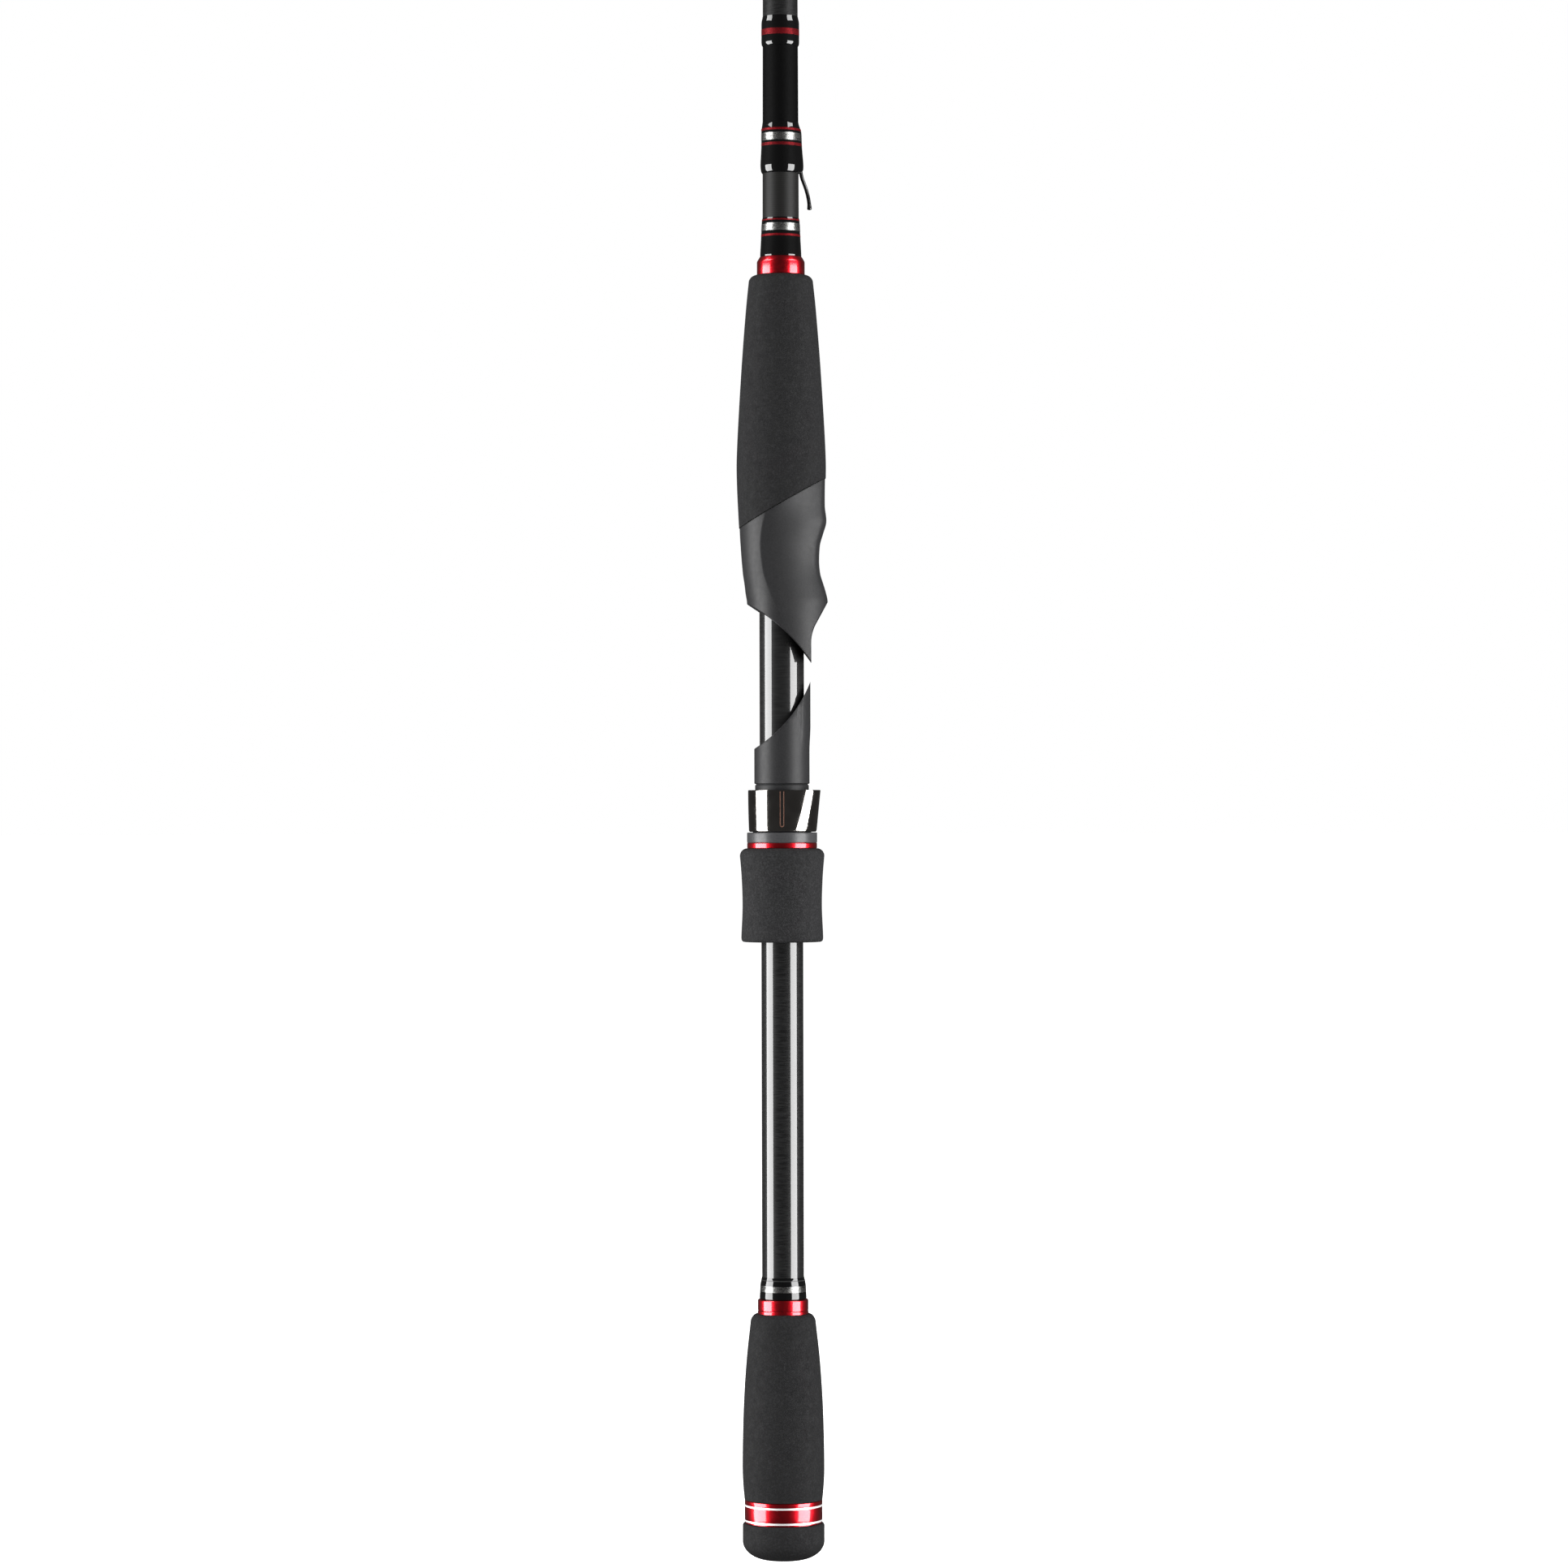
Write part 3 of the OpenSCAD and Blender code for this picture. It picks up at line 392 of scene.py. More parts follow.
def winding_tree():
    """Thread wound round the rod in a helix, from one height and radius to another."""
    tree = bpy.data.node_groups.new("wound_thread", "GeometryNodeTree")
    sizes = {"Bottom": "Float", "Top": "Float", "Bottom Radius": "Float", "Top Radius": "Float",
             "Thread Radius": "Float", "Pitch": "Float", "Facets Round": "Int", "Thread Facets": "Int",
             "Finish": "Material"}
    for name, kind in sizes.items():
        tree.interface.new_socket(name=name, in_out="INPUT", socket_type="NodeSocket" + kind)
    tree.interface.new_socket(name="Winding", in_out="OUTPUT", socket_type="NodeSocketGeometry")
    given = tree.nodes.new("NodeGroupInput").outputs

    def add(kind, wires, **settings):
        """A node with its inputs linked, and the first of its outputs."""
        made = tree.nodes.new(kind)
        for key, value in settings.items():
            setattr(made, key, value)
        for key, source in wires.items():
            tree.links.new(source, made.inputs[key])
        return made.outputs[0] if made.outputs else made

    length = add("ShaderNodeMath", {0: given["Top"], 1: given["Bottom"]}, operation="SUBTRACT")
    turns = add("ShaderNodeMath", {0: length, 1: given["Pitch"]}, operation="DIVIDE")
    helix = add("GeometryNodeCurveSpiral", {
        "Resolution": given["Facets Round"], "Rotations": turns, "Start Radius": given["Bottom Radius"],
        "End Radius": given["Top Radius"], "Height": length})
    lift = add("ShaderNodeCombineXYZ", {"Z": given["Bottom"]})
    placed = add("GeometryNodeTransform", {"Geometry": helix, "Translation": lift})
    section = add("GeometryNodeCurvePrimitiveCircle", {
        "Resolution": given["Thread Facets"], "Radius": given["Thread Radius"]})
    swept = add("GeometryNodeCurveToMesh", {"Curve": placed, "Profile Curve": section})
    swept.node.inputs["Fill Caps"].default_value = True
    whole = add("GeometryNodeRealizeInstances", {0: swept})
    coated = add("GeometryNodeSetMaterial", {"Geometry": whole, "Material": given["Finish"]})
    add("NodeGroupOutput", {0: coated})
    return tree


wound_thread = winding_tree()


def shaped_mesh(piece):
    """The piece's mesh as its modifiers leave it."""
    return bpy.data.meshes.new_from_object(piece.evaluated_get(bpy.context.evaluated_depsgraph_get()))


def wind(name, lays, thread, pitch=None, facets=64, thread_facets=6):
    """Winds a lay of thread for each (bottom, top, bottom radius, top radius, material), and joins them."""
    work = bmesh.new()
    materials = []
    for bottom, top, bottom_r, top_r, material in lays:
        form = bpy.data.objects.new("winding_form", bpy.data.meshes.new("winding_form"))
        bpy.context.scene.collection.objects.link(form)
        maker = form.modifiers.new("winding", "NODES")
        maker.node_group = wound_thread
        values = {"Bottom": bottom + thread / 2, "Top": top - thread / 2, "Bottom Radius": bottom_r,
                  "Top Radius": top_r, "Thread Radius": thread / 2, "Pitch": pitch or thread,
                  "Facets Round": facets, "Thread Facets": thread_facets, "Finish": material}
        for item in wound_thread.interface.items_tree:
            if item.in_out == "INPUT":
                maker[item.identifier] = values[item.name]
        wound = shaped_mesh(form)
        if material not in materials:
            materials.append(material)
        first = len(work.faces)
        work.from_mesh(wound)
        work.faces.ensure_lookup_table()
        for face in work.faces[first:]:
            face.material_index = materials.index(material)
        bpy.data.objects.remove(form)
        bpy.data.meshes.remove(wound)
    bmesh.ops.recalc_face_normals(work, faces=work.faces)
    return make_object(name, work, materials, 80)


def bands_on(name, node, line, proud, lays, body="rod", lump=None):
    """Coloured thread on a wrap, in (start, end, material) lays of millimetres over the wrap's lower end.
    It stands proud of the line of radii, and rides over the lump that a foot makes."""
    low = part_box(node)[0].z
    wound = []
    for start, end, material in lays:
        ends = low + start * mm, low + end * mm
        wound.append((*ends, *(radius_on(line, z) - thread / 2 + proud for z in ends), material))
    bands = wind(name, wound, thread)
    if lump:
        for v in bands.data.vertices:
            v.co.xy *= 1 + lump(v.co.z, atan2(v.co.y, v.co.x)) / v.co.xy.length
    return fit(bands, body, "thread_wrap")


thread = 0.26 * mm
z0, z1, foot_r = heights_and_radius("rear_trim_wrap")
trim_line = outer_line("rear_trim_wrap")
trim_bore = bore_at(z0)
rear_trim = smooth_through(
    [(foot_r - 0.25 * mm, z0), (foot_r, z0 + 0.5 * mm)]
    + [(radius_on(trim_line, z), z) for z in (z0 + 3 * mm, z1 - 2.6 * mm, z1 - 1.2 * mm)]
    + [(trim_bore + 0.03 * mm, z1)], 6)
fit(turn("rear_trim_epoxy", rear_trim + [(trim_bore, z1), (trim_bore, z0)], [wrap_black]),
    "rod", "thread_wrap", "rear_trim_wrap")
bands_on("rear_trim_bands", "rear_trim_wrap", trim_line, 0.05 * mm, [
    (2.5, 4.8, silver_thread), (6.3, 6.7, grey_thread)])


# ---- Blank of the butt section ----
# Carbon cloth rolled on a tapered steel mandrel, baked, ground and finished in lengths: clear-coated in
# the handle, satin over fine tape ridges above it, then a matt black zone, and clear-coated to the ferrule.
clear_coated = (Finish("clear_coated_carbon", 0.4, specular=0.12, coat=1.0)
                .tint(noise(0.35 * mm, 3, (0.12, 0.12, 1)), grey(0.003), (0.0105, 0.0107, 0.0107),
                      0.36, 0.66)
                .relief(rings(0.9 * mm, 1.2), 0.005 * mm, 0.7).material)
satin_carbon = (Finish("satin_carbon", 0.5, specular=0.15)
                .tint(rings(0.7 * mm, 0.7), (0.0056, 0.0054, 0.0052), (0.0080, 0.0078, 0.0075),
                      0.2, 0.9)
                .polish(noise(0.6 * mm, 2, (1, 1, 4)), 0.42, 0.52)
                .relief(rings(0.7 * mm, 0.7), 0.0035 * mm).material)
matt_black = (Finish("matt_black_paint", 0.6, specular=0.03)
              .tint(noise(0.5 * mm), grey(0.001), grey(0.0017))
              .relief(noise(0.25 * mm), 0.006 * mm)
              .polish(noise(1.2 * mm), 0.54, 0.64).material)

blank_z0, blank_z1, blank_butt_r = heights_and_radius("butt_blank")
bare_z0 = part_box("fore_trim_wrap")[1].z
label_z0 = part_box("keeper_wrap")[1].z
shoulder_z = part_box("tip_blank")[0].z
blank_wall = 1.2 * mm


def tube(name, levels, material, sides=128):
    """A hollow length of the blank, with a ring of corners at each level."""
    outside = [(radius_on(blank_line, z), z) for z in levels]
    return turn(name, outside + [(r - blank_wall, z) for r, z in outside[::-1]], [material], sides)


under_wrap = 4 * mm
seam = bare_z0 - under_wrap
label_seam = label_z0 - under_wrap
tail = [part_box("top_wrap")[1].z - 3 * mm, 0.62, 0.72, 0.82, 0.92]
handle = [blank_z0, 0.06, 0.11, 0.16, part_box("nut_grip")[0].z, 0.3, 0.38, seam]
fit(tube("blank_clear_coated", handle, clear_coated), "rod", "blank", "butt_blank")
fit(tube("blank_satin", [seam, bare_z0, label_seam], satin_carbon), "rod", "blank")
fit(tube("blank_matt", [label_seam, label_z0, tail[0]], matt_black), "rod", "blank")
fit(tube("blank_upper", tail + [shoulder_z - 1 * mm, blank_z1], clear_coated, 96), "rod", "blank")


# ---- Seat tube and shim ----
# The seat tube is a thin wall of rolled carbon, clear-coated, which shows between the two mouldings.
# A few turns of tape, soaked in glue, centre it where the blank has narrowed.
paint("seat_tube", Finish("carbon_tube", 0.38, specular=0.12, coat=1.0)
      .tint(noise(0.4 * mm, 2, (0.06, 0.06, 1)), grey(0.0045), (0.0115, 0.0117, 0.0117), 0.34, 0.7)
      .relief(rings(1.1 * mm, 0.9), 0.006 * mm, 0.7).material)
paint("seat_shim", Finish("shim_tape", 0.7)
      .tint(noise(1.2 * mm), (0.2, 0.16, 0.09), (0.3, 0.24, 0.15)).material)


# ---- Rear seat moulding ----
# Glass-filled nylon, moulded in one with the threaded barrel, then given a soft matt coating.
# Its upper edge is scooped away down the far side, so that it ends in a tongue under the reel's foot.
seat_coating = (Finish("soft_matt_coating", 0.45, specular=0.17)
                .tint(noise(0.5 * mm, 2), grey(0.0132), grey(0.0160))
                .polish(noise(1.5 * mm, 2), 0.43, 0.5)
                .relief(noise(0.22 * mm, 2), 0.008 * mm).material)
tube_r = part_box("seat_tube")[1].y
seat_lo, seat_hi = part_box("rear_seat")
barrel_z0, tongue_z, pad_r = seat_lo.z, seat_hi.z, seat_hi.x
body_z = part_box("hood_shell")[1].z + 2.1 * mm
body_r = -seat_lo.x
barrel_r = body_r - 0.25 * mm
thread_depth = 0.7 * mm
thread_pitch = 2 * mm
root_r = barrel_r - thread_depth
seat_bore = tube_r + glue


def cylinder_across(name, centre, radius, sides):
    """A round cutter that lies along Y, wider than the seat."""
    work = bmesh.new()
    bmesh.ops.create_cone(work, cap_ends=True, segments=sides, radius1=radius, radius2=radius, depth=60 * mm,
                          matrix=Matrix.Translation(centre) @ Matrix.Rotation(pi / 2, 4, "X"))
    return make_object(name, work, [])


def scoop_between(a, b, radius):
    """Centre of the round cutter through two points of the XZ plane, to the left of the way from a to b."""
    way = Vector(b) - Vector(a)
    off = sqrt(radius**2 - way.length_squared / 4) / way.length
    middle = (Vector(a) + Vector(b)) / 2
    return Vector((middle.x - way.y * off, 0, middle.y + way.x * off))


def prism_across(name, outline, reach=60 * mm):
    """A cutter with this (x, z) outline, as wide as the reach along Y."""
    if runs_clockwise(outline):
        outline = outline[::-1]
    work = bmesh.new()
    near = [work.verts.new((x, -reach / 2, z)) for x, z in outline]
    far = [work.verts.new((x, reach / 2, z)) for x, z in outline]
    work.faces.new(near)
    work.faces.new(far[::-1])
    count = len(outline)
    for k in range(count):
        n = (k + 1) % count
        work.faces.new([near[n], near[k], far[k], far[n]])
    return make_object(name, work, [])


def cut_away(piece, cutters, sharp=32, keep="DIFFERENCE", edge=0):
    """Cuts the cutters out of the piece, or keeps what lies inside them, and leaves it a plain mesh.
    An edge rounds the sharp edges by that much, as a mould does."""
    for cutter in cutters:
        cut = piece.modifiers.new("cut", "BOOLEAN")
        cut.operation = keep
        cut.solver = "EXACT"
        cut.object = cutter
    if edge:
        weld = piece.modifiers.new("weld", "WELD")
        weld.merge_threshold = 0.02 * mm
        soften = piece.modifiers.new("soften", "BEVEL")
        soften.width = edge
        soften.segments = 2
        soften.limit_method = "ANGLE"
        soften.angle_limit = radians(40)
        soften.use_clamp_overlap = False
    mesh = shaped_mesh(piece)
    piece.modifiers.clear()
    piece.data = mesh
    for cutter in cutters:
        bpy.data.objects.remove(cutter)
    mesh.shade_smooth()
    mesh.set_sharp_from_angle(angle=radians(sharp))
    return piece


def ease(t):
    """A smooth rise from 0 to 1 as t goes from 0 to 1."""
    t = min(max(t, 0), 1)
    return t * t * (3 - 2 * t)


def pad_swell(height):
    """Outside of the moulding at a height: round, with a low flat pad on the reel side."""
    rise = ease((height - body_z - 11 * mm) / (9 * mm))

    def at(a):
        across = abs(body_r * sin(a))
        on_pad = 1 - ease((across - 6.4 * mm) / (0.8 * mm)) if cos(a) > 0 else 0
        return body_r + (pad_r - body_r) * rise * on_pad
    return at


neck_z = body_z - 0.4 * mm
undercut_r = barrel_r - 0.35 * mm
seat_outline = (
    [(seat_bore, barrel_z0), (root_r - 0.2 * mm, barrel_z0), (root_r, barrel_z0 + 0.2 * mm),
     (root_r, neck_z - 3.4 * mm), (barrel_r, neck_z - 2.9 * mm), (barrel_r, neck_z),
     (undercut_r, neck_z + 0.05 * mm), (undercut_r, body_z), (body_r - 0.15 * mm, body_z + 0.02 * mm),
     (body_r, body_z + 0.2 * mm)]
    + [(pad_swell(z), z) for z in (body_z + k * mm for k in (6, *range(10, 21), 22, 26, 30))]
    + [(pad_swell(tongue_z), tongue_z + 1 * mm), (seat_bore, tongue_z + 1 * mm)])
rear_seat = turn("rear_seat_moulding", seat_outline, [seat_coating], 160)
scoop_r = 46 * mm
heel = (-body_r, body_z + 12 * mm)
tip = (pad_r, tongue_z)
key_half, key_depth = 1.5 * mm, 0.9 * mm


def keyway(top):
    """Cutter for the keyway on the side away from the reel, up to this height."""
    outside, floor, bottom = -20 * mm, -barrel_r + key_depth, barrel_z0 - 1 * mm
    corners = [(outside, bottom), (floor, bottom), (floor, top), (outside, top)]
    return prism_across("keyway", corners, 2 * key_half)


mould_edge = 0.22 * mm
scoop = cylinder_across("scoop", scoop_between(heel, tip, scoop_r), scoop_r, 256)
cut_away(rear_seat, [scoop, keyway(body_z - 2.2 * mm)], edge=mould_edge)
fit(rear_seat, "rod", "seat_moulding", "rear_seat")
thread_r = root_r - 0.12 * mm
barrel_thread = wind("barrel_thread", [
    (barrel_z0 + 1.2 * mm, neck_z - 2.6 * mm, thread_r, thread_r, seat_coating)],
    2 * thread_depth, thread_pitch, 96, 8)
inner_r, inner_z = root_r - 0.3 * mm, barrel_z0 - 2 * mm
core = turn("thread_core", [(0, inner_z), (inner_r, inner_z), (inner_r, body_z), (0, body_z)], [], 96)
fit(cut_away(barrel_thread, [core, keyway(body_z)], 40), "rod", "seat_moulding")


# ---- Front seat moulding ----
# The same coated nylon: a tongue for the foot's front end, a fixed hood over it, and a recess for the finger.
# Each side is hollowed in a long scooped panel, which a crisp crease parts from the round palm side.
base_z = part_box("front_seat")[0].z - 0.1 * mm
lip, recess, fore = 8.2, 5.3, 7.5
front_stations = [
    (-1, lip - 1.2, 2.9, 3.6), (6, lip - 0.8, 3.3, 3.8), (13.5, lip - 0.4, 4, 4.4), (20.8, lip, 4.25, 5.2),
    (23.5, lip - 0.5, 4.7, 5.3), (26.9, lip - 1.5, 5.1, 5.3), (30.2, recess + 0.4, 5.6, 5.2),
    (34.5, recess, 6, 5.1), (40.2, recess + 0.3, 6.4, 5.5), (43.5, recess + 1.25, 6.6, 5.9),
    (48, fore + 0.3, 6.8, 6.4), (53.5, fore - 0.2, 7.1, 6.9), (65, fore - 0.1, 7.4, 7.3)]
crease_stations = [
    (-1, 3.0, 0), (8, 1.5, 0.05), (16, -0.6, 0.4), (23.5, -3.7, 1.1), (30, -6.0, 1.8), (38.5, -7.1, 2.3),
    (45, -6.7, 2.4), (51.5, -4.9, 2.3), (58, -2.0, 2.1), (65, 1.5, 1.9)]
panel_columns, palm_columns = 44, 36


def along(stations, height):
    """Values of the smooth line through the stations, at one height."""
    last = len(stations) - 1
    i = next((k for k in range(last) if height <= stations[k + 1][0]), last - 1)
    around = stations[max(i - 1, 0)], stations[i], stations[i + 1], stations[min(i + 2, last)]
    low, high = stations[i][0], stations[i + 1][0]
    return between(*(station[1:] for station in around), (height - low) / (high - low))


def front_row(height):
    """One ring of the moulding's outside, with a column on the crease at each side."""
    reel, far, side = (tube_r / mm + v for v in along(front_stations, height))
    crease_x, depth = along(crease_stations, height)
    crease_a = acos(max(-0.9, min(0.9, crease_x / (far if crease_x < 0 else reel))))
    half = []
    for k in range(panel_columns + palm_columns + 1):
        if k <= panel_columns:
            t = 1 - k / panel_columns
            t = t * t * 0.5 + t * 0.5
            a = crease_a * (1 - t)
            u = min(t / 0.8, 1)
            sink = max(depth, 0) * 4 * u * (1 - u)
        else:
            a = crease_a + (pi - crease_a) * (k - panel_columns) / palm_columns
            sink = 0
        x = (reel if cos(a) > 0 else far) * cos(a)
        y = side * sin(a)
        shrink = 1 - sink / hypot(x, y)
        half.append((x * shrink * mm, y * shrink * mm))
    return half + [(x, -y) for x, y in half[-2:0:-1]]


def skin(work, rows):
    """Faces between rings of corners, with one more face over each end."""
    around = len(rows[0])
    for low, high in zip(rows, rows[1:]):
        for k in range(around):
            n = (k + 1) % around
            work.faces.new([low[k], low[n], high[n], high[k]])
    work.faces.new(rows[0][::-1])
    work.faces.new(rows[-1])


work = bmesh.new()
heights = [-1 + 66 * k / 110 for k in range(111)]
skin(work, [[work.verts.new((x, y, base_z + h * mm)) for x, y in front_row(h)] for h in heights])
joint_tilt = radians(30)
joint_z = base_z + 54.2 * mm
up = Vector((-sin(joint_tilt), 0, cos(joint_tilt)))
bmesh.ops.bisect_plane(work, geom=work.verts[:] + work.edges[:] + work.faces[:], plane_co=(0, 0, joint_z),
                       plane_no=up, clear_outer=True)
rim = [e for e in work.edges if e.is_boundary]
bmesh.ops.contextual_create(work, geom=rim)
bmesh.ops.recalc_face_normals(work, faces=work.faces)
front_seat = make_object("front_seat_moulding", work, [seat_coating])

floor_x = tube_r + 2.5 * mm
ramp_r = 15 * mm
lip_x = tube_r + lip * mm
far_edge = (-tube_r - 4.25 * mm, base_z + 20 * mm)
near_edge = (floor_x, base_z + 0.1 * mm)
edge_r = 64 * mm
lower_cut = cylinder_across("lower_cut", scoop_between(near_edge, far_edge, edge_r), edge_r, 512)
outside_x = 50 * mm
below, mouth_z, bore_top = base_z - 20 * mm, base_z + 20.8 * mm, base_z + 90 * mm
ramp = prism_across("ramp", [(floor_x, base_z - 10 * mm)]
                    + arc((floor_x + ramp_r, base_z + 6.5 * mm), ramp_r, ramp_r, 180, 153, 12)
                    + [(lip_x + 0.1 * mm, mouth_z), (outside_x, mouth_z), (outside_x, base_z - 10 * mm)])
bore = turn("bore", [(0, below), (seat_bore, below), (seat_bore, bore_top), (0, bore_top)], [])
pocket_off, pocket_wall = 3 * mm, 1.45 * mm
pocket_r = lip_x - pocket_off - pocket_wall
pocket = turn("pocket", [(0, base_z - 5 * mm), (pocket_r, base_z - 5 * mm), (pocket_r, base_z + 24 * mm),
                         (pocket_r - 3.4 * mm, base_z + 31 * mm), (0, base_z + 31 * mm)], [])
pocket.data.transform(Matrix.Translation((pocket_off, 0, 0)))
pocket_width, above = 14 * mm, base_z + 50 * mm
pocket_block = prism_across("pocket_block", [(floor_x, below), (outside_x, below), (outside_x, above),
                                             (floor_x, above)], pocket_width)
cut_away(pocket, [pocket_block], keep="INTERSECT")
cut_away(front_seat, [lower_cut, ramp, bore, pocket], edge=mould_edge)
fit(front_seat, "rod", "seat_moulding", "front_seat")


# ---- Lock nut ----
# A threaded sleeve of black nylon with a wide collar; a red anodised ring and a foam knob are glued over it.
# The knob has a waist for the fingers and flares out again under the ring.
z0, z1, knob_r = heights_and_radius("nut_grip")
core_lo, core_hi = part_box("nut_core")
collar_r = core_hi.y
ring_z0, ring_z1, nut_ring_r = heights_and_radius("nut_ring")
collar_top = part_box("hood_shell")[0].z - 0.2 * mm
core_in = barrel_r + 0.3 * mm
core_r = core_in + 1.1 * mm
neck_in, neck_out = barrel_r + 0.2 * mm, barrel_r + 0.7 * mm
snap = neck_out + 0.3 * mm
collar_plastic = (Finish("collar_nylon", 0.42, specular=0.3)
                  .tint(noise(0.6 * mm), grey(0.031), grey(0.037))
                  .polish(noise(1.0 * mm), 0.3, 0.4)
                  .relief(rings(0.35 * mm, 0.4), 0.004 * mm).material)
snap_z = core_hi.z - 1 * mm
core_outline = eased([
    (core_in, core_lo.z), (core_r, core_lo.z), (core_r, ring_z1), (collar_r, ring_z1),
    (collar_r, collar_top), (neck_out, collar_top), (neck_out, snap_z), (snap, snap_z),
    (snap, core_hi.z - 0.3 * mm), (snap - 0.3 * mm, core_hi.z), (neck_in, core_hi.z),
    (neck_in, collar_top - 0.8 * mm), (core_in, collar_top - 0.9 * mm)], 0.35 * mm, 4)
fit(turn("nut_core_moulded", core_outline, [collar_plastic]), "lock_nut", "black_plastic", "nut_core")
on_core = core_r + glue
nut_ring = eased([(on_core, ring_z0), (nut_ring_r, ring_z0), (nut_ring_r, ring_z1), (on_core, ring_z1)],
                 0.3 * mm, 5)
fit(turn("nut_ring_turned", nut_ring, [red_anodised]), "lock_nut", "red_anodised", "nut_ring")
knob_foam = foam("knob_foam", grey(0.0060), grey(0.0158))
low_r = knob_r - 0.5 * mm
knob_len = z1 - z0
lip_r = blank_butt_r + 0.55 * mm
knob_edge, knob_shoulder = 1 * mm, 2.6 * mm
knob_side = smooth_through([
    (low_r, z0 + knob_edge), (low_r + 0.02 * mm, z0 + 0.08 * knob_len),
    (knob_r - 0.87 * mm, z0 + 0.38 * knob_len), (knob_r - 0.6 * mm, z0 + 0.68 * knob_len),
    (knob_r, z1 - knob_shoulder)], 10)
shoulder_r = collar_r - 0.1 * mm
knob_floor = core_lo.z - glue
fit(turn("nut_grip_foam",
         [(lip_r, z0)]
         + arc((low_r - knob_edge, z0 + knob_edge), knob_edge, knob_edge, -90, -8, 6) + knob_side
         + arc((shoulder_r, z1 - knob_shoulder), knob_r - shoulder_r, knob_shoulder, 10, 90, 10)
         + [(on_core, z1), (on_core, knob_floor), (lip_r, knob_floor)], [knob_foam]),
    "lock_nut", "eva_foam", "nut_grip")


# ---- Sliding hood ----
# A pressed stainless shell, plated dark and polished, snapped over a nylon liner that slides on the barrel.
# It swells on the reel side towards its mouth, where it holds the rear end of the foot. The two lines of
# a narrow slot are pressed into each flank, joined by a half circle at the foot.
dark_chrome = (Finish("dark_chrome", 0.09, metallic=1.0)
               .polish(noise(3 * mm, 2), 0.07, 0.11)
               .tint(noise(4 * mm, 1), (0.32, 0.305, 0.29), (0.36, 0.345, 0.33))
               .relief(noise(6 * mm, 1), 0.01 * mm).material)
slot_shadow = (Finish("slot_shadow", 0.55, metallic=0.4, specular=0.2)
               .tint(noise(0.3 * mm), (0.08, 0.038, 0.026), (0.13, 0.065, 0.045)).material)
hood_z0, hood_z1, hood_r = heights_and_radius("hood_shell")
hood_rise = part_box("hood_shell")[1].x - hood_r
foot_rise = 0.2 * mm
hood_sheet = 0.6 * mm
slot_half, slot_line, slot_deep = 0.62 * mm, 0.13 * mm, 0.05 * mm
slot_foot, slot_top = hood_z0 + 2.4 * mm, hood_z1 - 0.4 * mm


def to_slot_line(height, a):
    """Distance from the pressed line of the nearer slot."""
    across = min(abs((a - side) % tau - pi) for side in (-pi / 2, pi / 2)) * hood_r
    below = max(slot_foot - height, 0)
    return abs(hypot(across, below) - slot_half)


def hood_radius(height, inset=0.0, slotted=True):
    """Outside of the hood at a height: round at the back, swelling on the reel side towards the mouth."""
    t = min(max((height - hood_z0) / (hood_z1 - hood_z0), 0), 1)
    side = hood_r - 0.3 * mm * (1 - t) ** 2
    reel_side = hood_r + foot_rise + (hood_rise - foot_rise) * t
    fullness = 2 + 1.1 * t

    def at(a):
        if cos(a) > 0:
            r = (abs(cos(a) / reel_side) ** fullness + abs(sin(a) / side) ** fullness) ** (-1 / fullness)
        else:
            r = side
        r -= inset
        if slotted and height < slot_top:
            r -= slot_deep * (1 - ease(to_slot_line(height, a) / slot_line))
        return r
    return at


def hood_angles():
    """Columns round the hood, close together at each pressed slot."""
    even = [tau * k / 144 for k in range(144)]
    fine = []
    for side in (pi / 2, 1.5 * pi):
        even = [a for a in even if abs(a - side) > 0.08]
        fine += [side + 0.075 * (k - 16) / 16 for k in range(33)]
    return sorted(even + fine)


steps = 100
levels = [hood_z0 + (hood_z1 - hood_z0) * k / steps for k in range(5, steps - 2)]
edge, foot_edge = 0.22 * mm, 0.55 * mm
foot_corner = [(hood_radius(hood_z0, foot_edge * (1 - cos(radians(a))), False),
                hood_z0 + foot_edge * (1 + sin(radians(a)))) for a in range(-90, 1, 15)]
shell_outline = (
    [(hood_radius(hood_z0, hood_sheet, False), hood_z0)] + foot_corner + [(hood_radius(z), z) for z in levels]
    + [(hood_radius(hood_z1, inset, False), hood_z1 - down)
       for inset, down in ((0, edge), (0.06 * mm, 0.07 * mm), (edge, 0), (hood_sheet, 0))])
hood_shell = turn("hood_shell_pressed", shell_outline, [dark_chrome, slot_shadow], angles=hood_angles())
for face in hood_shell.data.polygons:
    middle = face.center
    if face.normal.xy.dot(middle.xy) > 0 and slot_foot - slot_half * 1.5 < middle.z < slot_top:
        face.material_index = int(to_slot_line(middle.z, atan2(middle.y, middle.x)) < slot_line * 1.2)
fit(hood_shell, "sliding_hood", "hood_metal", "hood_shell")
paint("hood_liner", Finish("liner_nylon", 0.42)
      .tint(noise(0.7 * mm), (0.009, 0.009, 0.009), (0.015, 0.015, 0.015))
      .relief(noise(0.3 * mm), 0.01 * mm).material)


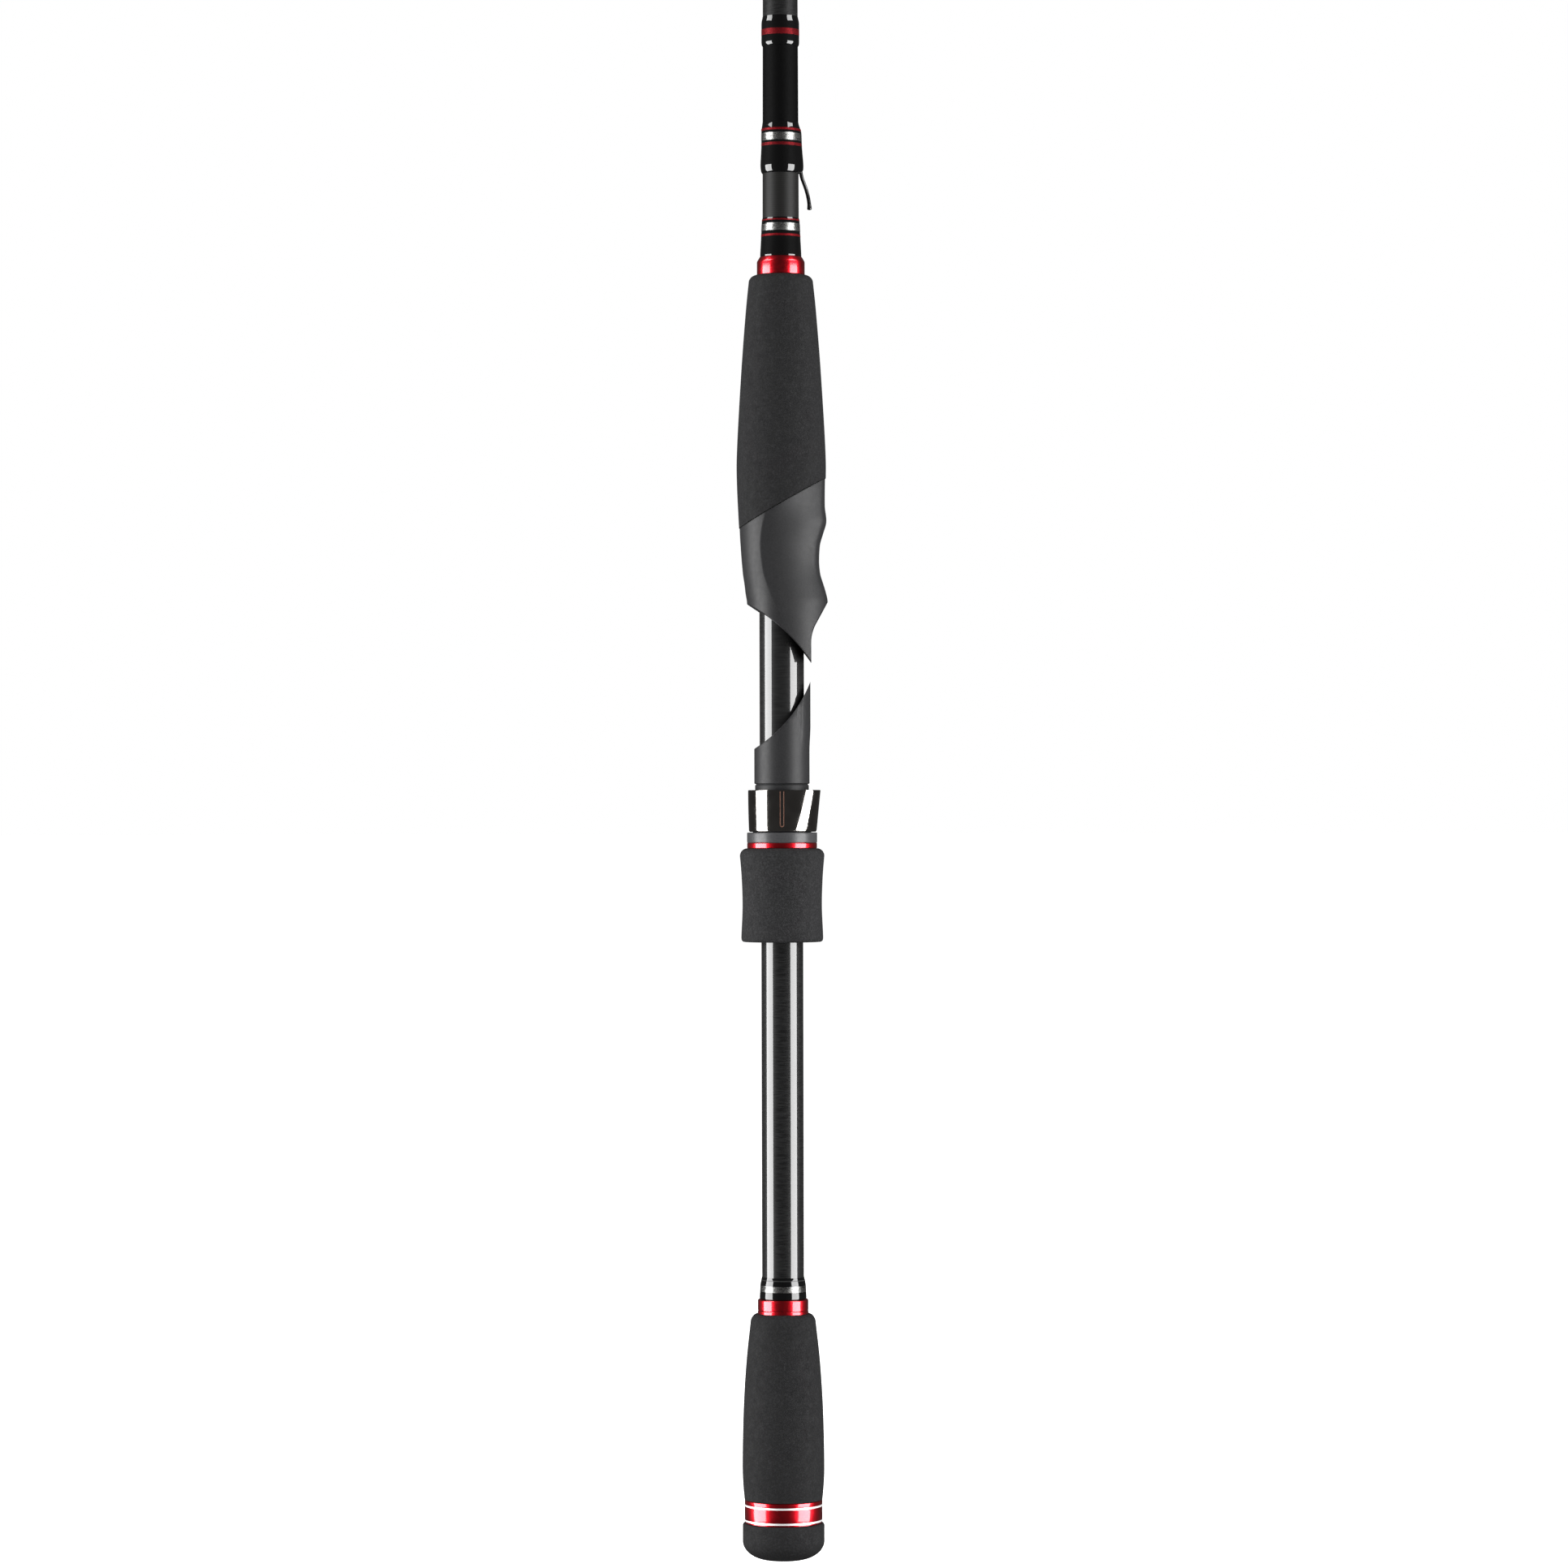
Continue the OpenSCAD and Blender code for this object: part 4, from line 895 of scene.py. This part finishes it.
# ---- Fore grip ----
# EVA foam, turned like the rear grip, with its lower end cut at a slant to sit against the front moulding.
# It is fullest just above the joint, and tapers to a rounded shoulder under the winding check.
z0, z1, belly_r = heights_and_radius("fore_grip")
top_r = 11.04 * mm
neck_r = top_r - 2.75 * mm
shoulder = 2.6 * mm
grip_len = z1 - joint_z
low = joint_z - 12 * mm
fore_side = smooth_through([
    (belly_r - 0.9 * mm, low), (belly_r, joint_z + 7 * mm),
    (belly_r - 0.1 * mm, joint_z + 0.25 * grip_len),
    (belly_r - 0.39 * (belly_r - top_r), joint_z + 0.585 * grip_len),
    (belly_r - 0.76 * (belly_r - top_r), joint_z + 0.84 * grip_len), (top_r, z1 - shoulder)], 12)
fore_grip = turn("fore_grip_foam",
                 fore_side + arc((neck_r, z1 - shoulder), top_r - neck_r, shoulder, 10, 90, 10)
                 + [(bore_at(z1), z1), (bore_at(low), low)], [black_foam])
work = bmesh.new()
work.from_mesh(fore_grip.data)
cut_at = Vector((0, 0, joint_z)) + up * glue
bmesh.ops.bisect_plane(work, geom=work.verts[:] + work.edges[:] + work.faces[:], plane_co=cut_at, plane_no=up,
                       clear_inner=True)
bmesh.ops.holes_fill(work, edges=[e for e in work.edges if e.is_boundary], sides=0)
bmesh.ops.triangulate(work, faces=[f for f in work.faces if len(f.verts) > 4])
bmesh.ops.recalc_face_normals(work, faces=work.faces)
work.to_mesh(fore_grip.data)
work.free()
fore_grip.data.set_sharp_from_angle(angle=radians(32))
fit(fore_grip, "rod", "eva_foam", "fore_grip")


# ---- Fore winding check ----
# The rear check's mate: turned aluminium, anodised red, glued against the foam's shoulder.
# Its upper end is turned down to a narrow cone that meets the thread wrap.
z0, z1, check_r = heights_and_radius("fore_winding_check")
check_bore = bore_at(z0)
fit(turn("fore_winding_check_turned", eased([
    (check_bore, z0), (check_r, z0), (check_r, z1 - 1.7 * mm), (check_r - 1 * mm, z1), (check_bore, z1)],
    0.3 * mm, 4), [red_anodised]), "rod", "red_anodised", "fore_winding_check")


# ---- Fore trim wrap ----
# Black thread under clear epoxy, which ramps down from the winding check to the bare blank.
# Near its upper end a silver band is laid between two lines of red.
z0, z1, foot_r = heights_and_radius("fore_trim_wrap")
trim_line = outer_line("fore_trim_wrap")
fore_trim = smooth_through(
    [(foot_r - 0.2 * mm, z0), (foot_r, z0 + 0.5 * mm)]
    + [(radius_on(trim_line, z), z) for z in (z0 + 6 * mm, z1 - 2 * mm, z1 - 0.7 * mm)]
    + [(radius_on(trim_line, z1) - 0.08 * mm, z1)], 6)
fit(turn("fore_trim_epoxy", fore_trim + [(bore_at(z1), z1), (bore_at(z0), z0)], [wrap_black]),
    "rod", "thread_wrap", "fore_trim_wrap")
bands_on("fore_trim_bands", "fore_trim_wrap", trim_line, 0.07 * mm, [
    (6.7, 7.7, red_thread), (8.6, 11.3, silver_thread), (12.1, 12.9, red_thread)])


# ---- Hook keeper ----
# A hook of stainless wire, blackened, with its foot bound to the blank under the thread.
# The open end swings out and hangs beside the blank, and is finished in a small bead.
keeper_lo, keeper_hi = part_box("hook_keeper")
wire_r = keeper_hi.y
black_wire = (Finish("blackened_wire", 0.25, metallic=0.4, coat=0.6, coat_roughness=0.1)
              .tint(noise(0.5 * mm), (0.009, 0.009, 0.009), (0.016, 0.016, 0.016))
              .relief(noise(0.3 * mm), 0.01 * mm).material)
wrap_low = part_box("keeper_wrap")[0].z
foot_x = bore_at(wrap_low) + wire_r
keeper_path = smooth_through(
    [(foot_x - 0.32 * mm, keeper_hi.z - wire_r)]
    + [(foot_x + out * mm, wrap_low + rise * mm) for out, rise in (
        (-0.2, 6), (0, 1.2), (0.42, -1.2), (1.15, -3.3), (1.95, -5.6), (2.6, -8.2), (2.95, -10.6))]
    + [(keeper_hi.x - wire_r, keeper_lo.z + wire_r)], 8)


def sweep(name, path, radii, materials, sides=16):
    """A round bar along a path of the XZ plane, closed by domed ends."""
    work = bmesh.new()
    rows = []
    for i, (x, z) in enumerate(path):
        way = Vector(path[min(i + 1, len(path) - 1)]) - Vector(path[max(i - 1, 0)])
        out = Vector((way.y, -way.x)).normalized()
        rows.append([work.verts.new((x + out.x * radii[i] * cos(a), radii[i] * sin(a),
                                     z + out.y * radii[i] * cos(a)))
                     for a in (tau * k / sides for k in range(sides))])
    skin(work, rows)
    bmesh.ops.recalc_face_normals(work, faces=work.faces)
    return make_object(name, work, materials, 50)


count = len(keeper_path)
domed = {0: 0.55, 1: 0.86, count - 2: 0.86, count - 1: 0.55}
wire = [(wire_r + ease((i - count + 12) / 9) * 0.16 * mm) * domed.get(i, 1) for i in range(count)]
fit(sweep("hook_keeper_wire", keeper_path, wire, [black_wire]), "rod", "black_plastic", "hook_keeper")


# ---- Keeper wrap and top wrap ----
# Black thread bound over the keeper's foot and again above the matt zone, each under a bead of clear epoxy.
# The keeper wrap has a silver band between red lines, the top wrap one band of red.


def keeper_lump(z, a):
    """Height of the lump over the keeper's foot: full at the lower end, fading out towards the upper one."""
    foot_t, foot_w = 1.15 * mm, 1.3 * mm
    down = (label_z0 - z) / (label_z0 - wrap_low)
    across = ((a + pi) % tau - pi) / ((foot_w / 2 + 1.6 * mm) / radius_on(blank_line, z))
    ends = sqrt(min(max((z - wrap_low) / (1.2 * mm), 0), 1)) * ease((label_z0 - z) / (4 * mm))
    return foot_t * (0.45 + 0.45 * down) * ends * exp(-across ** 2)


def bead_wrap(name, node, line, body="rod", lump=None, steps=26, sides=128):
    """Epoxy bead of a wrap: thin at its ends, full between them, and fuller and lifted over a foot's lump."""
    low, high = (corner.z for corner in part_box(node))
    round_end, thin_end = (3.4 * mm, 3.6 * mm) if lump else (1.6 * mm, 2.4 * mm)
    least = 0.06 * mm
    rows = []
    for k in range(steps + 1):
        t = k / steps
        z = low + (high - low) * t
        full = 1 + 0.7 * ease((0.6 - t) / 0.5) if lump else 1
        ends = (sqrt(1 - (1 - min(t * (high - low) / round_end, 1)) ** 2)
                * ease((1 - t) * (high - low) / thin_end) ** 0.7)
        bead_r = radius_on(line, z) + least + (wrap_thick * full - least) * ends
        rows.append(((lambda a, r=bead_r, z=z: r + lump(z, a)) if lump else bead_r, z))
    inner = [(radius_on(line, z) + glue, z) for z in (high, low)]
    return fit(turn(name, rows + inner, [wrap_black], sides), body, "thread_wrap", node)


tip_line = outer_line("tip_blank")
wrap_thick = 0.45 * mm
band_proud = wrap_thick + 0.05 * mm
bead_wrap("keeper_wrap_epoxy", "keeper_wrap", blank_line, lump=keeper_lump, steps=48)
bands_on("keeper_wrap_bands", "keeper_wrap", blank_line, band_proud, [
    (9.2, 10.4, red_thread), (11, 13.8, silver_thread), (14.4, 15.4, red_thread)], lump=keeper_lump)
bead_wrap("top_wrap_epoxy", "top_wrap", blank_line)
bands_on("top_wrap_band", "top_wrap", blank_line, band_proud, [(3.5, 5.8, red_thread)])


# ---- Ferrule ----
# The tip section's socket slides over the end of the butt section; both sides are bound against splitting.
# Each is black thread under epoxy, with a red line and a silver band on the side away from the joint.
bead_wrap("ferrule_rear_epoxy", "ferrule_rear_wrap", blank_line, steps=30, sides=96)
bands_on("ferrule_rear_bands", "ferrule_rear_wrap", blank_line, band_proud, [
    (2.4, 3.4, red_thread), (4, 5.4, silver_thread)])
bead_wrap("ferrule_front_epoxy", "ferrule_front_wrap", tip_line, "tip_section", steps=30, sides=96)
bands_on("ferrule_front_bands", "ferrule_front_wrap", tip_line, band_proud, [
    (18, 19.4, silver_thread), (20, 21, red_thread)], "tip_section")


# ---- Blank of the tip section ----
# The same rolled carbon, hollow for most of its length and solid at the tip, clear-coated over tape ridges.
# Its lower end is opened into the ferrule's socket.
paint("tip_blank", clear_coated)


# ---- Line guides ----
# Stainless sheet and rod, welded into frames and plated dark; each holds a ring of black ceramic.
# The two largest stand on two feet, the others on one, and every foot is bound under thread and epoxy.
gun_metal = (Finish("dark_plated_frame", 0.26, metallic=1.0)
             .tint(noise(1.5 * mm), grey(0.13), grey(0.19))
             .polish(noise(1 * mm), 0.22, 0.34)
             .relief(noise(0.4 * mm), 0.006 * mm).material)
ceramic = (Finish("black_ceramic", 0.08, specular=0.8)
           .tint(noise(0.8 * mm), (0.009, 0.010, 0.012), (0.016, 0.017, 0.02))
           .polish(noise(1 * mm), 0.06, 0.12).material)
guide_finishes = {"_frame": gun_metal, "_ring": ceramic, "_wrap": wrap_black, "_wraps": wrap_black}
for name in nodes:
    if name.startswith(("guide_", "tip_top_")):
        paint(name, guide_finishes[name[name.rindex("_"):]])


# ---- Studio ----
# A white floor and a white surround that only the camera sees, so that the rod's sides mirror a dark room.
# Two soft boxes on each side, one over the other, draw the bright lines down every round piece.
surround = bpy.data.worlds.new("studio_surround")
bpy.context.scene.world = surround
surround.use_nodes = True
add, link = surround.node_tree.nodes.new, surround.node_tree.links.new
surround.node_tree.nodes.clear()
choose = add("ShaderNodeMixShader")
link(add("ShaderNodeLightPath").outputs["Is Camera Ray"], choose.inputs[0])
for place, colour in ((1, (0.055, 0.054, 0.053, 1)), (2, (1, 1, 1, 1))):
    shade = add("ShaderNodeBackground")
    shade.inputs["Color"].default_value = colour
    link(shade.outputs[0], choose.inputs[place])
link(choose.outputs[0], add("ShaderNodeOutputWorld").inputs["Surface"])

work = bmesh.new()
reach, floor_z = 60.0, -0.03
work.faces.new([work.verts.new((x, y, floor_z))
                for x, y in ((-reach, -reach), (reach, -reach), (reach, reach), (-reach, reach))])
floor_paint = Finish("studio_floor", 0.9, colour=(0.9, 0.9, 0.9))
floor_paint.shader.inputs["Emission Color"].default_value = (1, 1, 1, 1)
floor_paint.shader.inputs["Emission Strength"].default_value = 1.0
floor = make_object("studio_floor", work, [floor_paint.material])
floor.visible_glossy = floor.visible_diffuse = floor.visible_shadow = False


def soft_box(name, bearing, distance, width, height, power, centre_z):
    """A soft box at a bearing from the camera's side of the rod, positive to the right."""
    lamp = bpy.data.lights.new(name, "AREA")
    lamp.shape = "RECTANGLE"
    lamp.size, lamp.size_y = width, height
    lamp.energy = power
    stand = bpy.data.objects.new(name, lamp)
    a = radians(bearing)
    stand.location = (distance * sin(a), -distance * cos(a), centre_z)
    to_rod = Vector((0, 0, centre_z)) - stand.location
    stand.rotation_euler = to_rod.to_track_quat("-Z", "Y").to_euler()
    bpy.context.scene.collection.objects.link(stand)
    return stand


soft_box("left_box", -76, 1.5, 1.2, 1.2, 64, 0.0)
soft_box("right_box", 65, 1.5, 1.1, 1.2, 58, 0.0)
soft_box("upper_left_box", -77, 1.5, 1.1, 1.2, 45, 1.65)
soft_box("upper_right_box", 66, 1.5, 1.0, 1.2, 45, 1.65)

camera = bpy.data.cameras.new("camera")
camera.lens = 119
camera.sensor_width = 36
view = bpy.data.objects.new("camera", camera)
bpy.context.scene.collection.objects.link(view)
view.matrix_world = (Matrix.Translation((0.0007, -1.773, 0.256)) @ Matrix.Rotation(radians(90.29), 4, "X")
                     @ Matrix.Rotation(radians(-0.13), 4, "Z"))
bpy.context.scene.camera = view
bpy.context.scene.view_settings.view_transform = "Standard"
